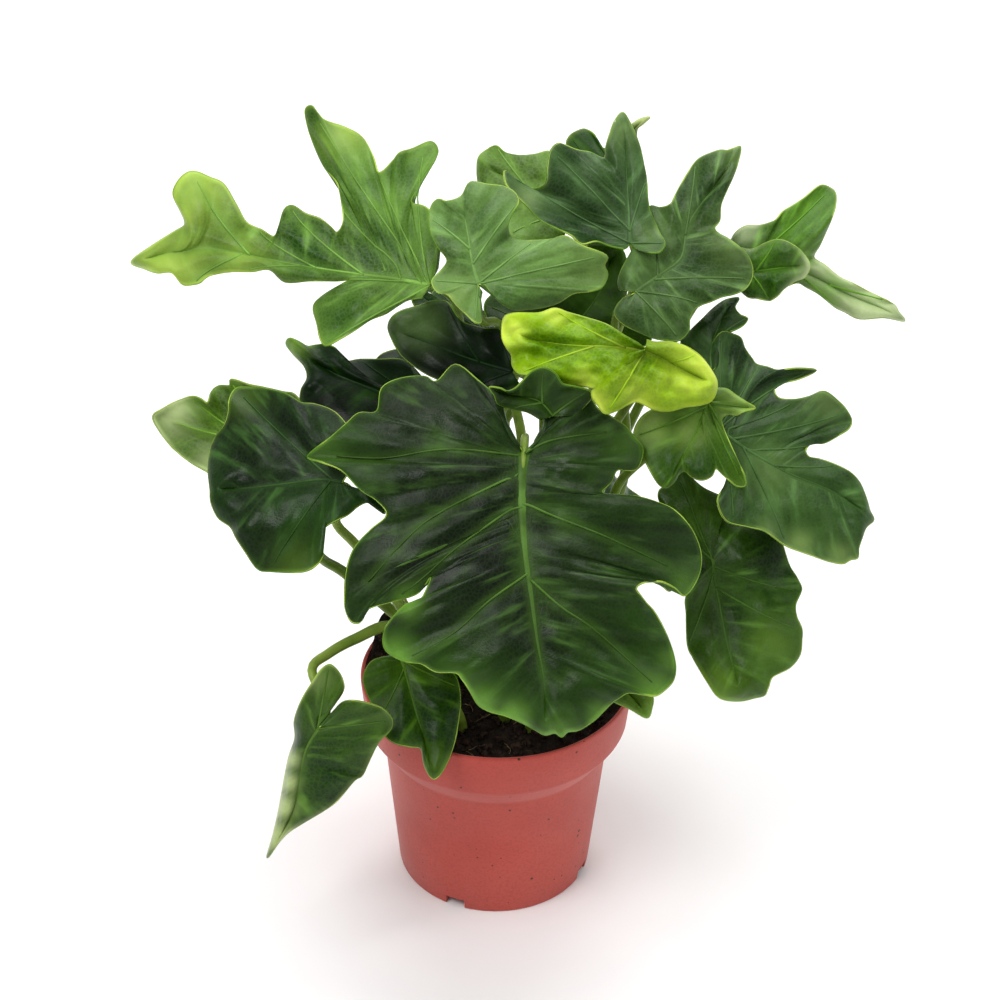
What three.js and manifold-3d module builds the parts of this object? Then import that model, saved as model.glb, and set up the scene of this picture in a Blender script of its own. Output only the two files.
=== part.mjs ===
// A potted philodendron: a nursery pot, its soil, a short stem crown, and some twenty lobed leaves.
// Millimetres, +Z up. The origin is the middle of the pot's underside; the viewer stands at -Y.
import * as THREE from "three";
import { mergeVertices } from "three/addons/utils/BufferGeometryUtils.js";
import Module from "manifold-3d";

const wasm = await Module();
wasm.setup();

// ---- Driving dimensions: pot ----
const POT_HEIGHT = 102;
const RIM_RADIUS = 60;
const BASE_RADIUS = 43.6;
const WALL_TOP_RADIUS = 49.9; // where the collar begins to flare
const WALL = 1.6;
const FLARE_FROM = 68.5;
const FLARE_TO = 81.5;
const COLLAR_RADIUS = 58.1; // the collar's radius at the top of the flare
const FLARE_EASE = 3.8; // the flare bends this far in height from either end
const FLARE_BEND = 2.3; // and this far across
const INSIDE_RAISE = 0.6; // the inside of the flare lies this much higher than its outside
const EDGE = 0.8; // how far the foot's and the lip's edges are cut back
const FLOOR_RAISE = 6; // the floor stands this high above the ground, apart from its middle pad
const FLOOR = 2;
const PAD_RADIUS = 12; // the middle of the floor reaches down to the ground
const PAD_SLOPE = 3; // and slopes up over this much
const POT_SIDES = 36;
const NOTCHES = 4;
const NOTCH_WIDTH = 9;
const NOTCH_HEIGHT = 5;
const NOTCH_DEPTH = 12;
const NOTCH_TURN = -113; // degrees from +X to the first notch
const DRAIN_HOLES = 6;
const DRAIN_RADIUS = 3.5;
const DRAIN_CIRCLE = 27;
const DRAIN_SIDES = 8;

// ---- Driving dimensions: soil, stalks and blades ----
const SOIL_TOP = 93;
const SOIL_GAP = 0.3; // between touching pieces
const SOIL_RINGS = 5;
const SOIL_SIDES = 24;
const SOIL_MOUND = { x: -52, y: 22, height: 24, spread: 14 };
const SOIL_LUMPS = { height: 1.1, x: 0.21, y: 0.19 }; // x and y: waves in radians a mm
const SOIL_RIPPLES = { height: 0.7, x: 0.47, y: 0.39 };
const STALK_ROOT_DEPTH = 14;
const STALK_ROOT_RADIUS = 3.3;
const STALK_TIP_RADIUS = 1.9;
const STALK_SIDES = 5;
const STALK_STEPS = 10;
const HOLE_GAP = 1.4;
const FOOT_RISE = 3; // a stalk stands straight until this far above the soil
const HOLE_SIDES = 6;
const BLADE_THICKNESS = 0.9;
const MIDRIB_STEPS = 6;
const MIDDLE_RING = 0.55; // the one row of points between the midrib and the margin
const VIA_SHARE = 0.6; // how far out along a rib its fold point lies
const CROWN_PLACE = { x: -33, y: 8 };
const CROWN_RADIUS = 5;
const CROWN_TIP_RADIUS = 2;
const CROWN_HEIGHT = 42;
const CROWN_LEAN = 9; // how far its tip leans out
const CROWN_SIDES = 8;

// ---- The sight lines ----
// Blade outlines are drawn as they are seen from one place, on a square picture PICTURE wide, and each
// point is then put in space along its sight line. Its depth is counted in mm towards that place from
// the upright plane through SIGHT_TARGET.
const PICTURE = 1000;
const SIGHT_DISTANCE = 1000;
const SIGHT_FOCAL = 2384;
const SIGHT_ELEVATION = 33.37;
const SIGHT_ROLL = 1;
const SIGHT_TARGET = new THREE.Vector3(0, 0, 192.7);

const sight = sightAxes();

function sightAxes() {
  const elevation = THREE.MathUtils.degToRad(SIGHT_ELEVATION);
  const roll = THREE.MathUtils.degToRad(SIGHT_ROLL);
  const back = new THREE.Vector3(0, -Math.cos(elevation), Math.sin(elevation));
  const right = new THREE.Vector3(1, 0, 0);
  const up = new THREE.Vector3().crossVectors(back, right);
  return {
    back,
    right: right.clone().applyAxisAngle(back, roll),
    up: up.applyAxisAngle(back, roll),
    eye: SIGHT_TARGET.clone().addScaledVector(back, SIGHT_DISTANCE),
  };
}

/** The point in space that is seen at (px, py), at that depth. */
function seenAt(px, py, depth) {
  const reach = SIGHT_DISTANCE - depth;
  return sight.eye
    .clone()
    .addScaledVector(sight.back, -reach)
    .addScaledVector(sight.right, ((px - PICTURE / 2) / SIGHT_FOCAL) * reach)
    .addScaledVector(sight.up, ((PICTURE / 2 - py) / SIGHT_FOCAL) * reach);
}

// ---- The leaves ----
// A blade's midrib runs from its base towards its tip, as [x, y] on the picture. Its outline runs
// counter-clockwise round the upper face from the base to the tip and back, as
// [x, y, share, lift, fold x, fold y, fold lift]. The share (0 to 100) says how far along the midrib
// the rib that feeds the point begins. Lift is mm towards the viewer. A fold, if any, is a point that
// the rib passes on its way. depth, across and up give the blade's plane: the base's depth, and how
// the depth changes per mm to the right and up. sag lets the blade fall away from its base, and cup
// raises it between midrib and margin. wave is [height, how many, phase] round the margin.
// root is where the stalk stands in the soil, as [distance from the pot's axis, degrees from +X],
// and via are points of the stalk, as [x, y, depth].
const LEAVES = [
  {
    name: "leaf_front",
    root: [21, -80],
    approach: [11.8, 8.4],
    blades: [
      {
        depth: 40, across: 0, up: -0.25, sag: 9, cup: 2.5, wave: [2, 9, 0],
        midrib: [[524, 453], [522, 500], [525, 550], [531, 595], [537, 640], [544, 680], [545, 712]],
        outline: [
          [516, 440, 0], [506, 420, 0, 0, 512, 435, 0], [500, 400, 0, 0, 504, 424, 0],
          [478, 380, 0], [455, 364, 0, -5], [436, 381, 1], [424, 376, 1.5], [400, 378, 2], [381, 388, 2],
          [376, 411, 3], [358, 413, 3], [345, 424, 4],
          [330, 437, 5], [307, 456, 6, -6], [320, 462, 7], [340, 470, 8], [360, 490, 9], [375, 500, 10],
          [386, 515, 11, 2], [370, 530, 14], [354, 548, 17], [346, 570, 19], [344, 592, 20.5, -2],
          [345, 608, 21.5, -4, 378, 577, -1.5], [350, 621, 22.5, -5, 388, 580, -2],
          [357, 624, 23.2, -5, 394, 581, -2], [362, 620, 24, -4, 398, 581, -1],
          [366, 611, 25, -2, 404, 580, -0.5], [374, 607, 26, 0, 412, 578, 0],
          [388, 603, 27, 0, 426, 574, 0], [404, 599, 28, 0, 441, 570, 0],
          [418, 593, 29, 0, 455, 566, 0], [430, 578, 31, 2, 470, 562, 0], [420, 600, 34], [405, 605, 36],
          [392, 618, 38], [384, 630, 40, -4], [383, 645, 43, -6], [390, 655, 46, -5], [405, 662, 49],
          [420, 664, 52], [435, 672, 56], [455, 673, 60], [462, 680, 63], [470, 692, 67, -4],
          [478, 705, 71, -6], [490, 712, 75, -7], [505, 716, 80, -7], [520, 722, 86, -6],
          [535, 730, 93, -3], [545, 735, 100, -3], [555, 733, 95, -2], [562, 737, 92], [568, 732, 90],
          [580, 730, 86], [595, 720, 82, -3], [610, 705, 78, -3], [620, 698, 75], [630, 693, 73],
          [645, 695, 71], [657, 696, 69, -3], [667, 689, 67, -5], [674, 680, 64, -6], [676, 666, 61, -6],
          [672, 648, 58, -4], [665, 630, 55], [655, 612, 52], [647, 603, 49], [641, 595, 46],
          [637, 588, 43, 2], [644, 583, 41], [652, 582, 39], [663, 582, 37],
          [675, 588, 35, -4, 613, 570, -1.4],
          [685, 596, 33, -6, 617, 567, -2], [695, 585, 30, -6, 624, 565, -2], [701, 570, 27, -6],
          [702, 555, 24, -6],
          [698, 540, 22, -4], [690, 525, 20], [675, 510, 18], [660, 503, 16], [640, 497, 14],
          [620, 495, 12, 0, 585, 493.5, 0], [603, 493, 11, 2], [612, 482, 9], [618, 470, 7],
          [635, 470, 6, -3, 590, 466, -1],
          [642, 460, 5, -4], [643, 447, 4, -5], [635, 437, 3, -4], [625, 425, 2, -3], [610, 415, 1],
          [598, 408, 1], [590, 398, 0], [575, 402, 0], [560, 410, 0, 0, 548, 429, 0],
          [546, 410, 0, 0, 544.5, 430, 0],
          [543, 425, 0, 0, 540, 437, 0], [535, 440, 0, 0, 532, 446.5, 0],
        ],
      },
      {
        depth: 37, across: 0, up: 0.1, sag: 4, cup: 3, wave: [0, 0, 0],
        midrib: [[552, 416], [540, 402], [522, 397], [504, 394]],
        outline: [
          [575, 416, 0], [585, 406, 3], [592, 397, 8], [590, 390, 14, 4], [575, 386, 24, 7],
          [563, 383, 32, 8], [556, 373, 40, 9], [545, 367, 48, 9], [532, 371, 56, 9], [523, 380, 64, 8],
          [515, 388, 72, 7], [507, 391, 80, 7], [500, 388, 90, 8], [489, 387, 100, 9], [494, 395, 92, 6],
          [498, 404, 80, 3], [512, 409, 50], [527, 412, 20], [541, 420, 0],
        ],
      },
    ],
  },
  {
    name: "leaf_left",
    root: [21, 192],
    via: [[357, 546, -2], [336, 522, 0]],
    approach: [9, -2],
    blades: [
      {
        depth: 22, across: 0.3, up: -0.4, sag: 12, cup: 3, wave: [2, 7, 1],
        midrib: [[342, 483], [321, 480], [285, 484], [250, 488], [225, 489]],
        outline: [
          [350, 470, 0], [358, 450, 0], [350, 430, 0], [335, 412, 2], [315, 404, 5], [300, 402, 8],
          [285, 393, 13], [265, 388, 20, -3], [250, 387, 26, -4], [236, 388, 32, -4], [229, 398, 37],
          [228, 412, 42], [224, 425, 47], [215, 437, 55], [210, 450, 66, -3], [208, 470, 84, -3],
          [210, 490, 100, -2], [211, 503, 88], [218, 518, 76], [230, 527, 66], [236, 538, 58],
          [245, 552, 49, -4], [257, 569, 41, -6], [270, 572, 36, -6], [300, 573, 28, -4], [314, 568, 22],
          [322, 558, 18], [322, 546, 15], [319, 535, 12, 3], [326, 527, 9, 5], [335, 522, 6, 4],
          [348, 515, 3], [359, 506, 1], [370, 503, 0], [385, 514, 0], [378, 495, 0],
        ],
      },
    ],
  },
  {
    name: "leaf_left_back",
    root: [21, 166],
    via: [[345, 573, -22], [319, 555, -30], [300, 500, -44]],
    approach: [8, 0],
    blades: [
      {
        depth: -36, across: 0.15, up: -0.35, sag: 8, cup: -4, wave: [2, 5, 2],
        midrib: [[292, 442], [255, 438], [215, 434], [180, 424]],
        outline: [
          [305, 425, 0], [302, 404, 0], [294, 393, 4], [283, 391, 8], [266, 387, 14], [250, 384, 20],
          [238, 380, 26, 4], [230, 379, 30, 5], [229, 385, 34], [219, 385, 38, -3], [211, 391, 42, -4],
          [207, 402, 47, 4], [200, 398, 54], [190, 396, 62, -3], [175, 401, 76, -3], [162, 408, 88],
          [152, 416, 100], [158, 430, 94], [166, 441, 86], [175, 451, 76], [190, 463, 62, -3],
          [203, 470, 50, -3], [215, 477, 40], [235, 485, 22], [262, 480, 6], [285, 465, 0],
        ],
      },
    ],
  },
  {
    name: "leaf_mid_left",
    root: [21, 143],
    blades: [
      {
        depth: -12, across: 0.1, up: -0.5, sag: 8, cup: 3, wave: [1.5, 5, 0],
        midrib: [[430, 405], [395, 397], [350, 380], [320, 366]],
        outline: [
          [428, 385, 0], [414, 368, 3], [400, 359, 7], [380, 359, 14], [360, 359, 22], [346, 361, 32],
          [340, 354, 40], [334, 347, 48, 3], [325, 344, 58, 3], [315, 345, 70], [307, 346, 78],
          [298, 341, 86], [289, 338, 93], [286, 344, 100, -4], [293, 354, 98, -3], [304, 366, 96],
          [307, 378, 90], [301, 390, 82], [300, 402, 76, -3], [306, 408, 70], [314, 422, 60],
          [325, 440, 44], [345, 452, 30], [370, 457, 18], [400, 452, 8], [425, 432, 0],
        ],
      },
    ],
  },
  {
    name: "leaf_upper_left",
    root: [11, 165],
    via: [[468, 480, -18], [462, 380, -20]],
    blades: [
      {
        depth: 15, across: 0.15, up: -0.3, sag: 6, cup: 2.5, wave: [2, 9, 0.5],
        midrib: [[430, 286], [400, 280], [340, 272], [280, 262], [220, 250], [175, 252], [150, 258]],
        outline: [
          [438, 268, 0], [440, 240, 0], [434, 216, 0], [425, 206, 1], [411, 201, 2, 2],
          [420, 185, 2.5, 0, 412, 221, 0],
          [429, 170, 3, 0, 410, 216, 0], [436, 158, 3.5, -4, 408, 211, 0], [438, 148, 4, -6, 405, 208, 0],
          [430, 141, 5, -7, 401.5, 206, 0], [412, 148, 6, -4, 396.5, 205, 0],
          [400, 152, 7.5, 0, 393, 205, 0],
          [393, 160, 9, 0, 391, 206, 0], [379, 172, 12, 3], [373, 156, 14], [362, 137, 15, -3],
          [345, 127, 16], [325, 120, 17, 3, 358, 184, 1], [317, 112, 18, 4, 353, 180, 1.5],
          [311, 105, 19, 4, 349, 179, 1.5], [305, 110, 20, 3, 346, 183, 1], [308, 128, 21, 0, 348, 191, 0],
          [316, 150, 22, 0, 350.5, 204, 0], [325, 168, 23, 0, 353, 213, 0], [337, 183, 24, 3, 356, 221, 1],
          [342, 205, 27],
          [343, 222, 30], [337, 232, 34, -3], [330, 226, 37], [320, 218, 40, 3], [306, 213, 44, 4],
          [293, 205, 47, 5], [284, 209, 50, 5], [279, 226, 53, 2], [274, 236, 56, -3], [262, 229, 60],
          [247, 222, 65], [237, 205, 69, -3], [224, 184, 72, -4], [210, 177, 75.5, 0, 210, 213, 0],
          [195, 171, 78, 5, 204, 214, 3], [185, 173, 79.5, 7, 199, 217, 3],
          [176, 183, 81, 7, 195.5, 221, 3],
          [173, 195, 82.5, 4, 192, 227, 2], [181, 212, 84, 0, 189, 235, 1], [185, 224, 86], [173, 232, 91],
          [150, 247, 98], [131, 262, 100, -6], [145, 269, 97, -4], [157, 273, 94],
          [172, 273, 90], [183, 285, 84, -4], [198, 284, 80], [210, 276, 75], [230, 272, 70],
          [252, 272, 64], [270, 270, 58], [285, 282, 52, -3], [310, 281, 44], [337, 281, 36],
          [350, 280, 31], [340, 285, 27], [322, 296, 24, -4], [313, 307, 21, -5], [317, 325, 18, -3],
          [320, 340, 16, -2], [326, 346, 15], [340, 339, 13], [355, 330, 11], [370, 320, 9],
          [385, 314, 6], [397, 306, 4], [408, 300, 2], [422, 298, 0],
        ],
      },
    ],
  },
  {
    name: "leaf_upper_mid",
    root: [11, -75],
    via: [[523, 452, 3], [517, 412, 3], [505, 375, 4], [499, 325, 3]],
    blades: [
      {
        depth: 30, across: -0.05, up: -0.3, sag: 6, cup: 2.5, wave: [1.5, 7, 1],
        midrib: [[478, 284], [472, 262], [468, 236], [464, 214]],
        outline: [
          [484, 285, 0], [495, 297, 0], [512, 309, 0, -3], [530, 309, 1, -4], [545, 307, 1, -4],
          [560, 302, 2, -3], [575, 293, 2], [592, 291, 3], [603, 287, 5, -3], [608, 275, 6, -4],
          [605, 265, 8], [607, 255, 10, 3], [582, 245, 12, 3], [566, 236, 14], [552, 239, 15.5], [537, 240, 17],
          [522, 240, 21], [511, 236, 27, -4], [508, 226, 34], [512, 214, 42], [519, 202, 50],
          [515, 192, 60], [503, 186, 74, -3], [487, 184, 84], [470, 182, 92, -3], [461, 196, 100],
          [447, 201, 94], [438, 199, 87, -3], [431, 206, 80, -3], [429, 218, 70], [430, 232, 58],
          [437, 246, 44], [447, 260, 30, -3], [440, 271, 18], [431, 281, 12, 2], [436, 292, 8, 3],
          [447, 295, 6], [456, 305, 5], [466, 315, 3], [475, 323, 2, 3], [481, 322, 1], [480, 305, 0],
          [482, 292, 0],
        ],
      },
    ],
  },
  {
    name: "leaf_top",
    root: [21, 60],
    approach: [11.8, 7],
    blades: [
      {
        depth: 8, across: 0, up: -0.1, sag: 5, cup: 2, wave: [1, 6, 0],
        midrib: [[630, 243], [629, 215], [627, 180], [625, 140]],
        outline: [
          [640, 250, 0, 5, 636, 249, 2], [652, 253, 0, 6, 643, 250, 3], [661, 252, 1, 6],
          [666, 243, 2, 5], [661, 234, 4, 3], [655, 222, 8], [650, 210, 14], [648, 196, 24],
          [647, 180, 36, -2], [644, 165, 52], [641, 150, 70], [637, 138, 84], [631, 124, 94],
          [623, 112, 100], [615, 120, 94], [610, 132, 86], [606, 146, 76], [604, 158, 64, -5],
          [590, 152, 55], [575, 149, 48], [565, 145, 43], [557, 143, 39, 4], [550, 150, 36, 5],
          [547, 165, 32, 6], [545, 183, 28, 5], [532, 188, 25, 0, 568, 203, 0],
          [515, 180, 22, 0, 556, 200, 0],
          [504, 170, 20, 3, 545, 200.5, 0], [505, 183, 17, 6, 552, 206, 0], [513, 193, 14, 7, 560, 213, 0],
          [526, 206, 11, 7, 568, 220, 0], [540, 220, 9, 7, 577, 228, 0], [555, 228, 7, 7, 586, 235, 0],
          [570, 235, 5, 7, 595, 240, 0], [581, 244, 3, 7, 601, 244, 0], [596, 241, 1, 7, 609, 244.5, 0],
          [610, 246, 0, 6, 618, 247, 0], [624, 249, 0, 6, 627, 247.5, 1],
        ],
      },
    ],
  },
  {
    name: "leaf_top_pale",
    root: [21, 92],
    via: [[505, 470, -22], [508, 400, -26], [545, 310, -34]],
    blades: [
      {
        depth: -25, across: 0.1, up: -0.3, sag: 6, cup: 2, wave: [1, 4, 0],
        midrib: [[570, 222], [543, 200], [517, 184], [495, 171]],
        outline: [
          [584, 205, 0], [570, 180, 0], [562, 162, 5], [550, 151, 14], [535, 154, 28], [519, 155, 44],
          [505, 152, 58, 2], [496, 145, 68, 3], [486, 150, 82], [479, 156, 94], [477, 166, 100, -3],
          [478, 182, 92, -3], [484, 200, 78], [494, 218, 56], [510, 236, 34], [540, 248, 12],
          [562, 242, 0],
        ],
      },
    ],
  },
  {
    name: "leaf_top_back",
    root: [31, 72],
    blades: [
      {
        depth: -36, across: 0, up: -0.2, sag: 6, cup: 2, wave: [0, 0, 0],
        midrib: [[612, 198], [616, 172], [622, 148], [635, 127]],
        outline: [
          [632, 200, 0], [640, 178, 8], [637, 150, 40], [637, 130, 76], [643, 124, 92],
          [650, 117, 100, -3], [640, 119, 92], [630, 126, 76], [618, 138, 54], [606, 148, 42],
          [599, 144, 38], [594, 134, 35], [585, 129, 32, -4], [576, 131, 28], [569, 136, 25],
          [566, 145, 20], [572, 165, 8], [582, 185, 0], [598, 200, 0],
        ],
      },
    ],
  },
  {
    name: "leaf_mid_back",
    root: [31, 50],
    blades: [
      {
        depth: -22, across: 0, up: -0.3, sag: 6, cup: 2.5, wave: [1.5, 5, 0],
        midrib: [[560, 340], [582, 318], [602, 288], [611, 260]],
        outline: [
          [575, 355, 0], [600, 352, 2], [625, 348, 6], [645, 346, 14], [652, 336, 24], [640, 325, 34],
          [628, 316, 46], [626, 300, 60], [628, 276, 78], [623, 250, 100, 4], [606, 243, 92, 6],
          [588, 244, 80, 7], [570, 262, 62, 3], [556, 280, 48], [535, 284, 36], [512, 286, 26],
          [495, 292, 18], [484, 304, 10], [488, 320, 4], [510, 335, 1], [540, 350, 0],
        ],
      },
    ],
  },
  {
    name: "leaf_upper_right",
    root: [11, 42],
    via: [[624, 479, -6]],
    blades: [
      {
        depth: 12, across: 0.05, up: -0.35, sag: 6, cup: 2.5, wave: [1.5, 8, 0],
        midrib: [[636, 292], [660, 275], [681, 258], [687, 228], [702, 203], [722, 178]],
        outline: [
          [622, 300, 0], [614, 313, 0], [622, 324, 0], [640, 333, 1], [655, 339, 3], [668, 341, 6, -3],
          [680, 341, 10, -4], [689, 332, 14, -3], [690, 320, 17], [693, 312, 19], [701, 306, 21],
          [711, 302, 23], [723, 297, 26], [736, 294, 29, -3], [746, 289, 32, -4], [752, 280, 35, -5],
          [753, 268, 38, -5], [748, 255, 42, -3], [740, 247, 45], [729, 239, 48], [720, 234, 51],
          [715, 228, 54, 3], [720, 220, 58], [721, 205, 64], [727, 190, 72], [733, 177, 80],
          [738, 163, 90], [741, 147, 100, -5], [734, 148, 96, -4], [727, 150, 92], [719, 150, 88],
          [703, 156, 80], [695, 162, 75], [688, 172, 70], [682, 182, 64], [675, 195, 57],
          [670, 204, 50, 3], [660, 207, 44], [650, 206, 38], [645, 218, 30], [640, 232, 22],
          [632, 250, 14], [622, 268, 6], [618, 282, 2], [620, 290, 0],
        ],
      },
    ],
  },
  {
    name: "leaf_far_right",
    root: [21, 30],
    blades: [
      {
        depth: -14, across: -0.12, up: -0.25, sag: 6, cup: 2.5, wave: [1.5, 5, 0],
        midrib: [[735, 272], [775, 267], [810, 275], [845, 293], [885, 310]],
        outline: [
          [738, 286, 0], [755, 294, 4], [775, 292, 10], [797, 283, 20, -3], [808, 288, 32],
          [820, 295, 44], [835, 307, 58, -3], [845, 312, 67, -3], [860, 319, 78], [885, 318, 92],
          [905, 321, 100, -5], [899, 312, 97], [895, 305, 91], [885, 299, 84, 3], [870, 292, 76],
          [855, 284, 67, 3], [840, 277, 57], [825, 265, 47], [814, 257, 39, -3], [820, 245, 35],
          [826, 232, 32], [832, 218, 29], [836, 205, 26, -3], [836, 193, 24, -5], [830, 187, 22, -6],
          [820, 185, 20, -4], [805, 197, 17], [793, 205, 15], [783, 211, 13], [775, 220, 11, 3],
          [760, 225, 8], [745, 226, 5], [733, 236, 2], [728, 255, 0],
        ],
      },
      {
        depth: -13.4, across: 0.2, up: -0.15, sag: 4, cup: 3, wave: [0, 0, 0],
        midrib: [[735, 272], [755, 271], [780, 268], [798, 266]],
        outline: [
          [738, 288, 0], [748, 297, 14], [758, 299, 30], [769, 301, 44, -4], [777, 297, 58],
          [784, 289, 70], [795, 281, 84], [805, 277, 95], [810, 265, 100, 3], [803, 253, 92, 4],
          [794, 245, 80, 5], [785, 240, 66, 5], [775, 239, 54, 5], [765, 243, 42, 3], [752, 249, 28],
          [740, 247, 14], [730, 241, 4], [726, 256, 0],
        ],
      },
    ],
  },
  {
    name: "leaf_mid_right",
    root: [31, 10],
    via: [[618, 545, -12], [676, 494, -23], [706, 452, -4]],
    approach: [6, 0],
    blades: [
      {
        depth: 15, across: -0.2, up: -0.4, sag: 8, cup: 2.5, wave: [2, 8, 0],
        midrib: [[718, 430], [750, 452], [790, 474], [830, 490], [855, 505]],
        outline: [
          [722, 452, 0], [728, 480, 0, 0, 726.5, 457, 0], [718, 497, 3, 0, 733, 467, 0],
          [718, 507, 7, 0, 734.5, 477, 0], [723, 518, 11, 0, 737, 487, 0], [731, 524, 15, 0, 740, 492, 0],
          [750, 528, 23], [765, 532, 30], [785, 546, 40, -5], [800, 552, 48, -6], [815, 557, 56, -6],
          [830, 562, 64, -5], [843, 564, 70, -3], [851, 560, 75], [858, 558, 79], [859, 548, 83],
          [862, 538, 88], [866, 528, 93], [874, 520, 100, -4], [870, 510, 95], [866, 497, 88],
          [860, 483, 80, -3], [850, 472, 70], [835, 464, 60], [820, 459, 53], [810, 457, 47],
          [806, 451, 44, 3], [812, 443, 42], [825, 443, 41, 0, 800, 444, 0],
          [840, 435, 39, 0, 806, 440, 0], [850, 428, 37, -3, 812, 436, -1],
          [852, 420, 35, -4, 814, 431.5, -1.4], [847, 410, 32], [840, 402, 30], [825, 391, 27, 3],
          [810, 396, 24],
          [795, 399, 22], [780, 398, 20], [775, 391, 18], [778, 384, 16, 0, 765, 402, 0],
          [800, 379, 14, -3, 769, 387, -1], [817, 370, 13, -6, 765, 383, -2],
          [797, 368, 12, 0, 761, 381, 0],
          [778, 370, 11, 0, 756, 386, 0], [768, 367, 10, 0, 751, 391, 0], [757, 364, 9],
          [752, 358, 8], [745, 348, 7], [741, 338, 6], [734, 334, 5], [722, 331, 3, 3], [712, 345, 2],
          [705, 370, 1], [703, 400, 0], [707, 420, 0],
        ],
      },
      {
        depth: 5, across: 0, up: -0.4, sag: 3, cup: 2, wave: [0, 0, 0],
        midrib: [[712, 372], [711, 350], [719, 325], [729, 308]],
        outline: [
          [720, 362, 0], [722, 345, 18], [726, 333, 34], [735, 330, 48], [744, 325, 58, -3],
          [748, 318, 66, -4], [740, 314, 74], [735, 307, 84], [739, 298, 100, -3], [728, 299, 92],
          [720, 303, 80], [710, 311, 64], [701, 320, 50, 3], [690, 331, 36], [681, 343, 16],
          [697, 362, 0],
        ],
      },
    ],
  },
  {
    name: "leaf_low_right",
    root: [31, -24],
    via: [[598, 600, 2], [650, 562, 0]],
    approach: [8, 0],
    blades: [
      {
        depth: 0, across: -0.1, up: -0.3, sag: 10, cup: 3, wave: [2, 7, 0],
        midrib: [[712, 560], [716, 590], [724, 630], [731, 660], [737, 682]],
        outline: [
          [727, 498, 0, 1], [712, 492, 0], [701, 486, 0], [691, 477, 0, 3], [684, 470, 0, 4], [677, 472, 0, 4],
          [668, 484, 0, 2], [659, 490, 0], [659, 500, 1],
          [668, 512, 1], [682, 532, 2], [694, 555, 3], [698, 575, 5], [690, 588, 8, 3], [685, 600, 12, 3],
          [686, 615, 18], [687, 645, 33], [693, 658, 43], [700, 670, 53, -3], [708, 683, 65, -4],
          [716, 695, 78, -5], [725, 700, 88, -5], [741, 701, 100, -6], [755, 698, 92, -5],
          [765, 695, 85, -4], [769, 687, 79], [773, 677, 73], [790, 668, 62, -4], [800, 655, 54, -5],
          [802, 640, 48, -5], [802, 628, 43, -4], [797, 616, 38], [796, 605, 34], [802, 590, 27, -3],
          [798, 579, 22], [791, 568, 18], [787, 558, 14], [783, 545, 10], [776, 528, 6], [762, 515, 3],
          [745, 509, 1, -4], [721, 501, 0, -4],
        ],
      },
    ],
  },
  {
    name: "leaf_young",
    root: [11, -15],
    via: [[575, 500, 4], [618, 420, 14]],
    approach: [11.12, 5.11],
    blades: [
      {
        depth: 42, across: 0.08, up: -0.1, sag: 5, cup: 4, wave: [2, 5, 0],
        midrib: [[646, 350], [612, 347], [570, 345], [530, 340]],
        outline: [
          [638, 343, 0], [622, 334, 4], [604, 323, 10], [585, 317, 20], [568, 312, 32], [554, 308, 42],
          [538, 313, 56], [515, 313, 76], [505, 316, 90, -3], [502, 325, 100, -3], [502, 338, 93],
          [506, 347, 85, 2], [511, 355, 79], [512, 366, 74], [519, 374, 68], [533, 376, 58],
          [548, 380, 48], [564, 384, 38], [580, 386, 28], [593, 388, 20], [608, 388, 12],
          [622, 383, 5], [636, 369, 0],
        ],
      },
      {
        depth: 44.67, across: 0, up: 0, sag: 6, cup: 7, wave: [1.5, 5, 0],
        midrib: [[645, 350], [662, 358], [682, 369], [702, 379]],
        outline: [
          [632, 353, 0], [620, 360, 1, -4], [610, 371, 3, -6], [602, 380, 5, -6], [593, 388, 8, -4],
          [592, 397, 11], [598, 406, 14], [605, 414, 18], [616, 411, 22], [627, 405, 26], [638, 402, 30],
          [655, 410, 40], [670, 411, 50], [685, 407, 60], [700, 405, 72], [711, 401, 82],
          [716, 392, 92], [717, 382, 100], [712, 371, 92], [705, 361, 80], [697, 353, 66], [685, 346, 50],
          [670, 342, 34], [655, 342, 18], [647, 340, 0, -2],
        ],
      },
    ],
  },
  {
    name: "leaf_under_young",
    root: [21, -4],
    via: [[603, 530, 6], [620, 483, 10], [644, 459, 14]],
    approach: [5, -0.7],
    blades: [
      {
        depth: 26, across: 0, up: -0.2, sag: 5, cup: 2, wave: [1.2, 5, 0],
        midrib: [[708, 402], [700, 424], [686, 450], [674, 474]],
        outline: [
          [704, 395, 0], [690, 399, 2], [672, 404, 6], [655, 408, 12], [640, 418, 20], [633, 436, 30],
          [642, 455, 45], [648, 468, 60], [656, 481, 80], [662, 487, 92], [668, 487, 100],
          [674, 482, 92], [679, 474, 80], [685, 471, 72], [691, 476, 64], [698, 480, 56],
          [705, 480, 48], [712, 476, 40], [716, 469, 32], [723, 475, 22, 0, 708, 438, 0],
          [731, 482, 20, 0, 711, 441, 0], [738, 487, 18, -2, 715, 443, 0], [746, 486, 16, -2, 719, 441, 0],
          [745, 476, 14, 0, 722.5, 441, 0], [739, 464, 12, 0, 724, 437, 0], [732, 448, 9], [725, 432, 6],
          [722, 420, 4],
          [728, 414, 3, 0, 718.5, 411, 0], [737, 415, 2, 0, 721, 409.5, 0],
          [746, 411, 1, 0, 723.5, 407.5, 0],
          [756, 408, 1, -3, 726, 405, 0], [747, 402, 0, 0, 726.5, 401.5, 0], [736, 395, 0], [727, 389, 0],
          [716, 388, 0],
        ],
      },
    ],
  },
  {
    name: "leaf_inner",
    root: [11, 105],
    via: [[502, 500, -10], [502, 430, -10]],
    blades: [
      {
        depth: 15.5, across: 0, up: -0.1, sag: 5, cup: 2, wave: [1.5, 5, 0],
        midrib: [[512, 372], [470, 359], [436, 346], [408, 336]],
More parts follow.
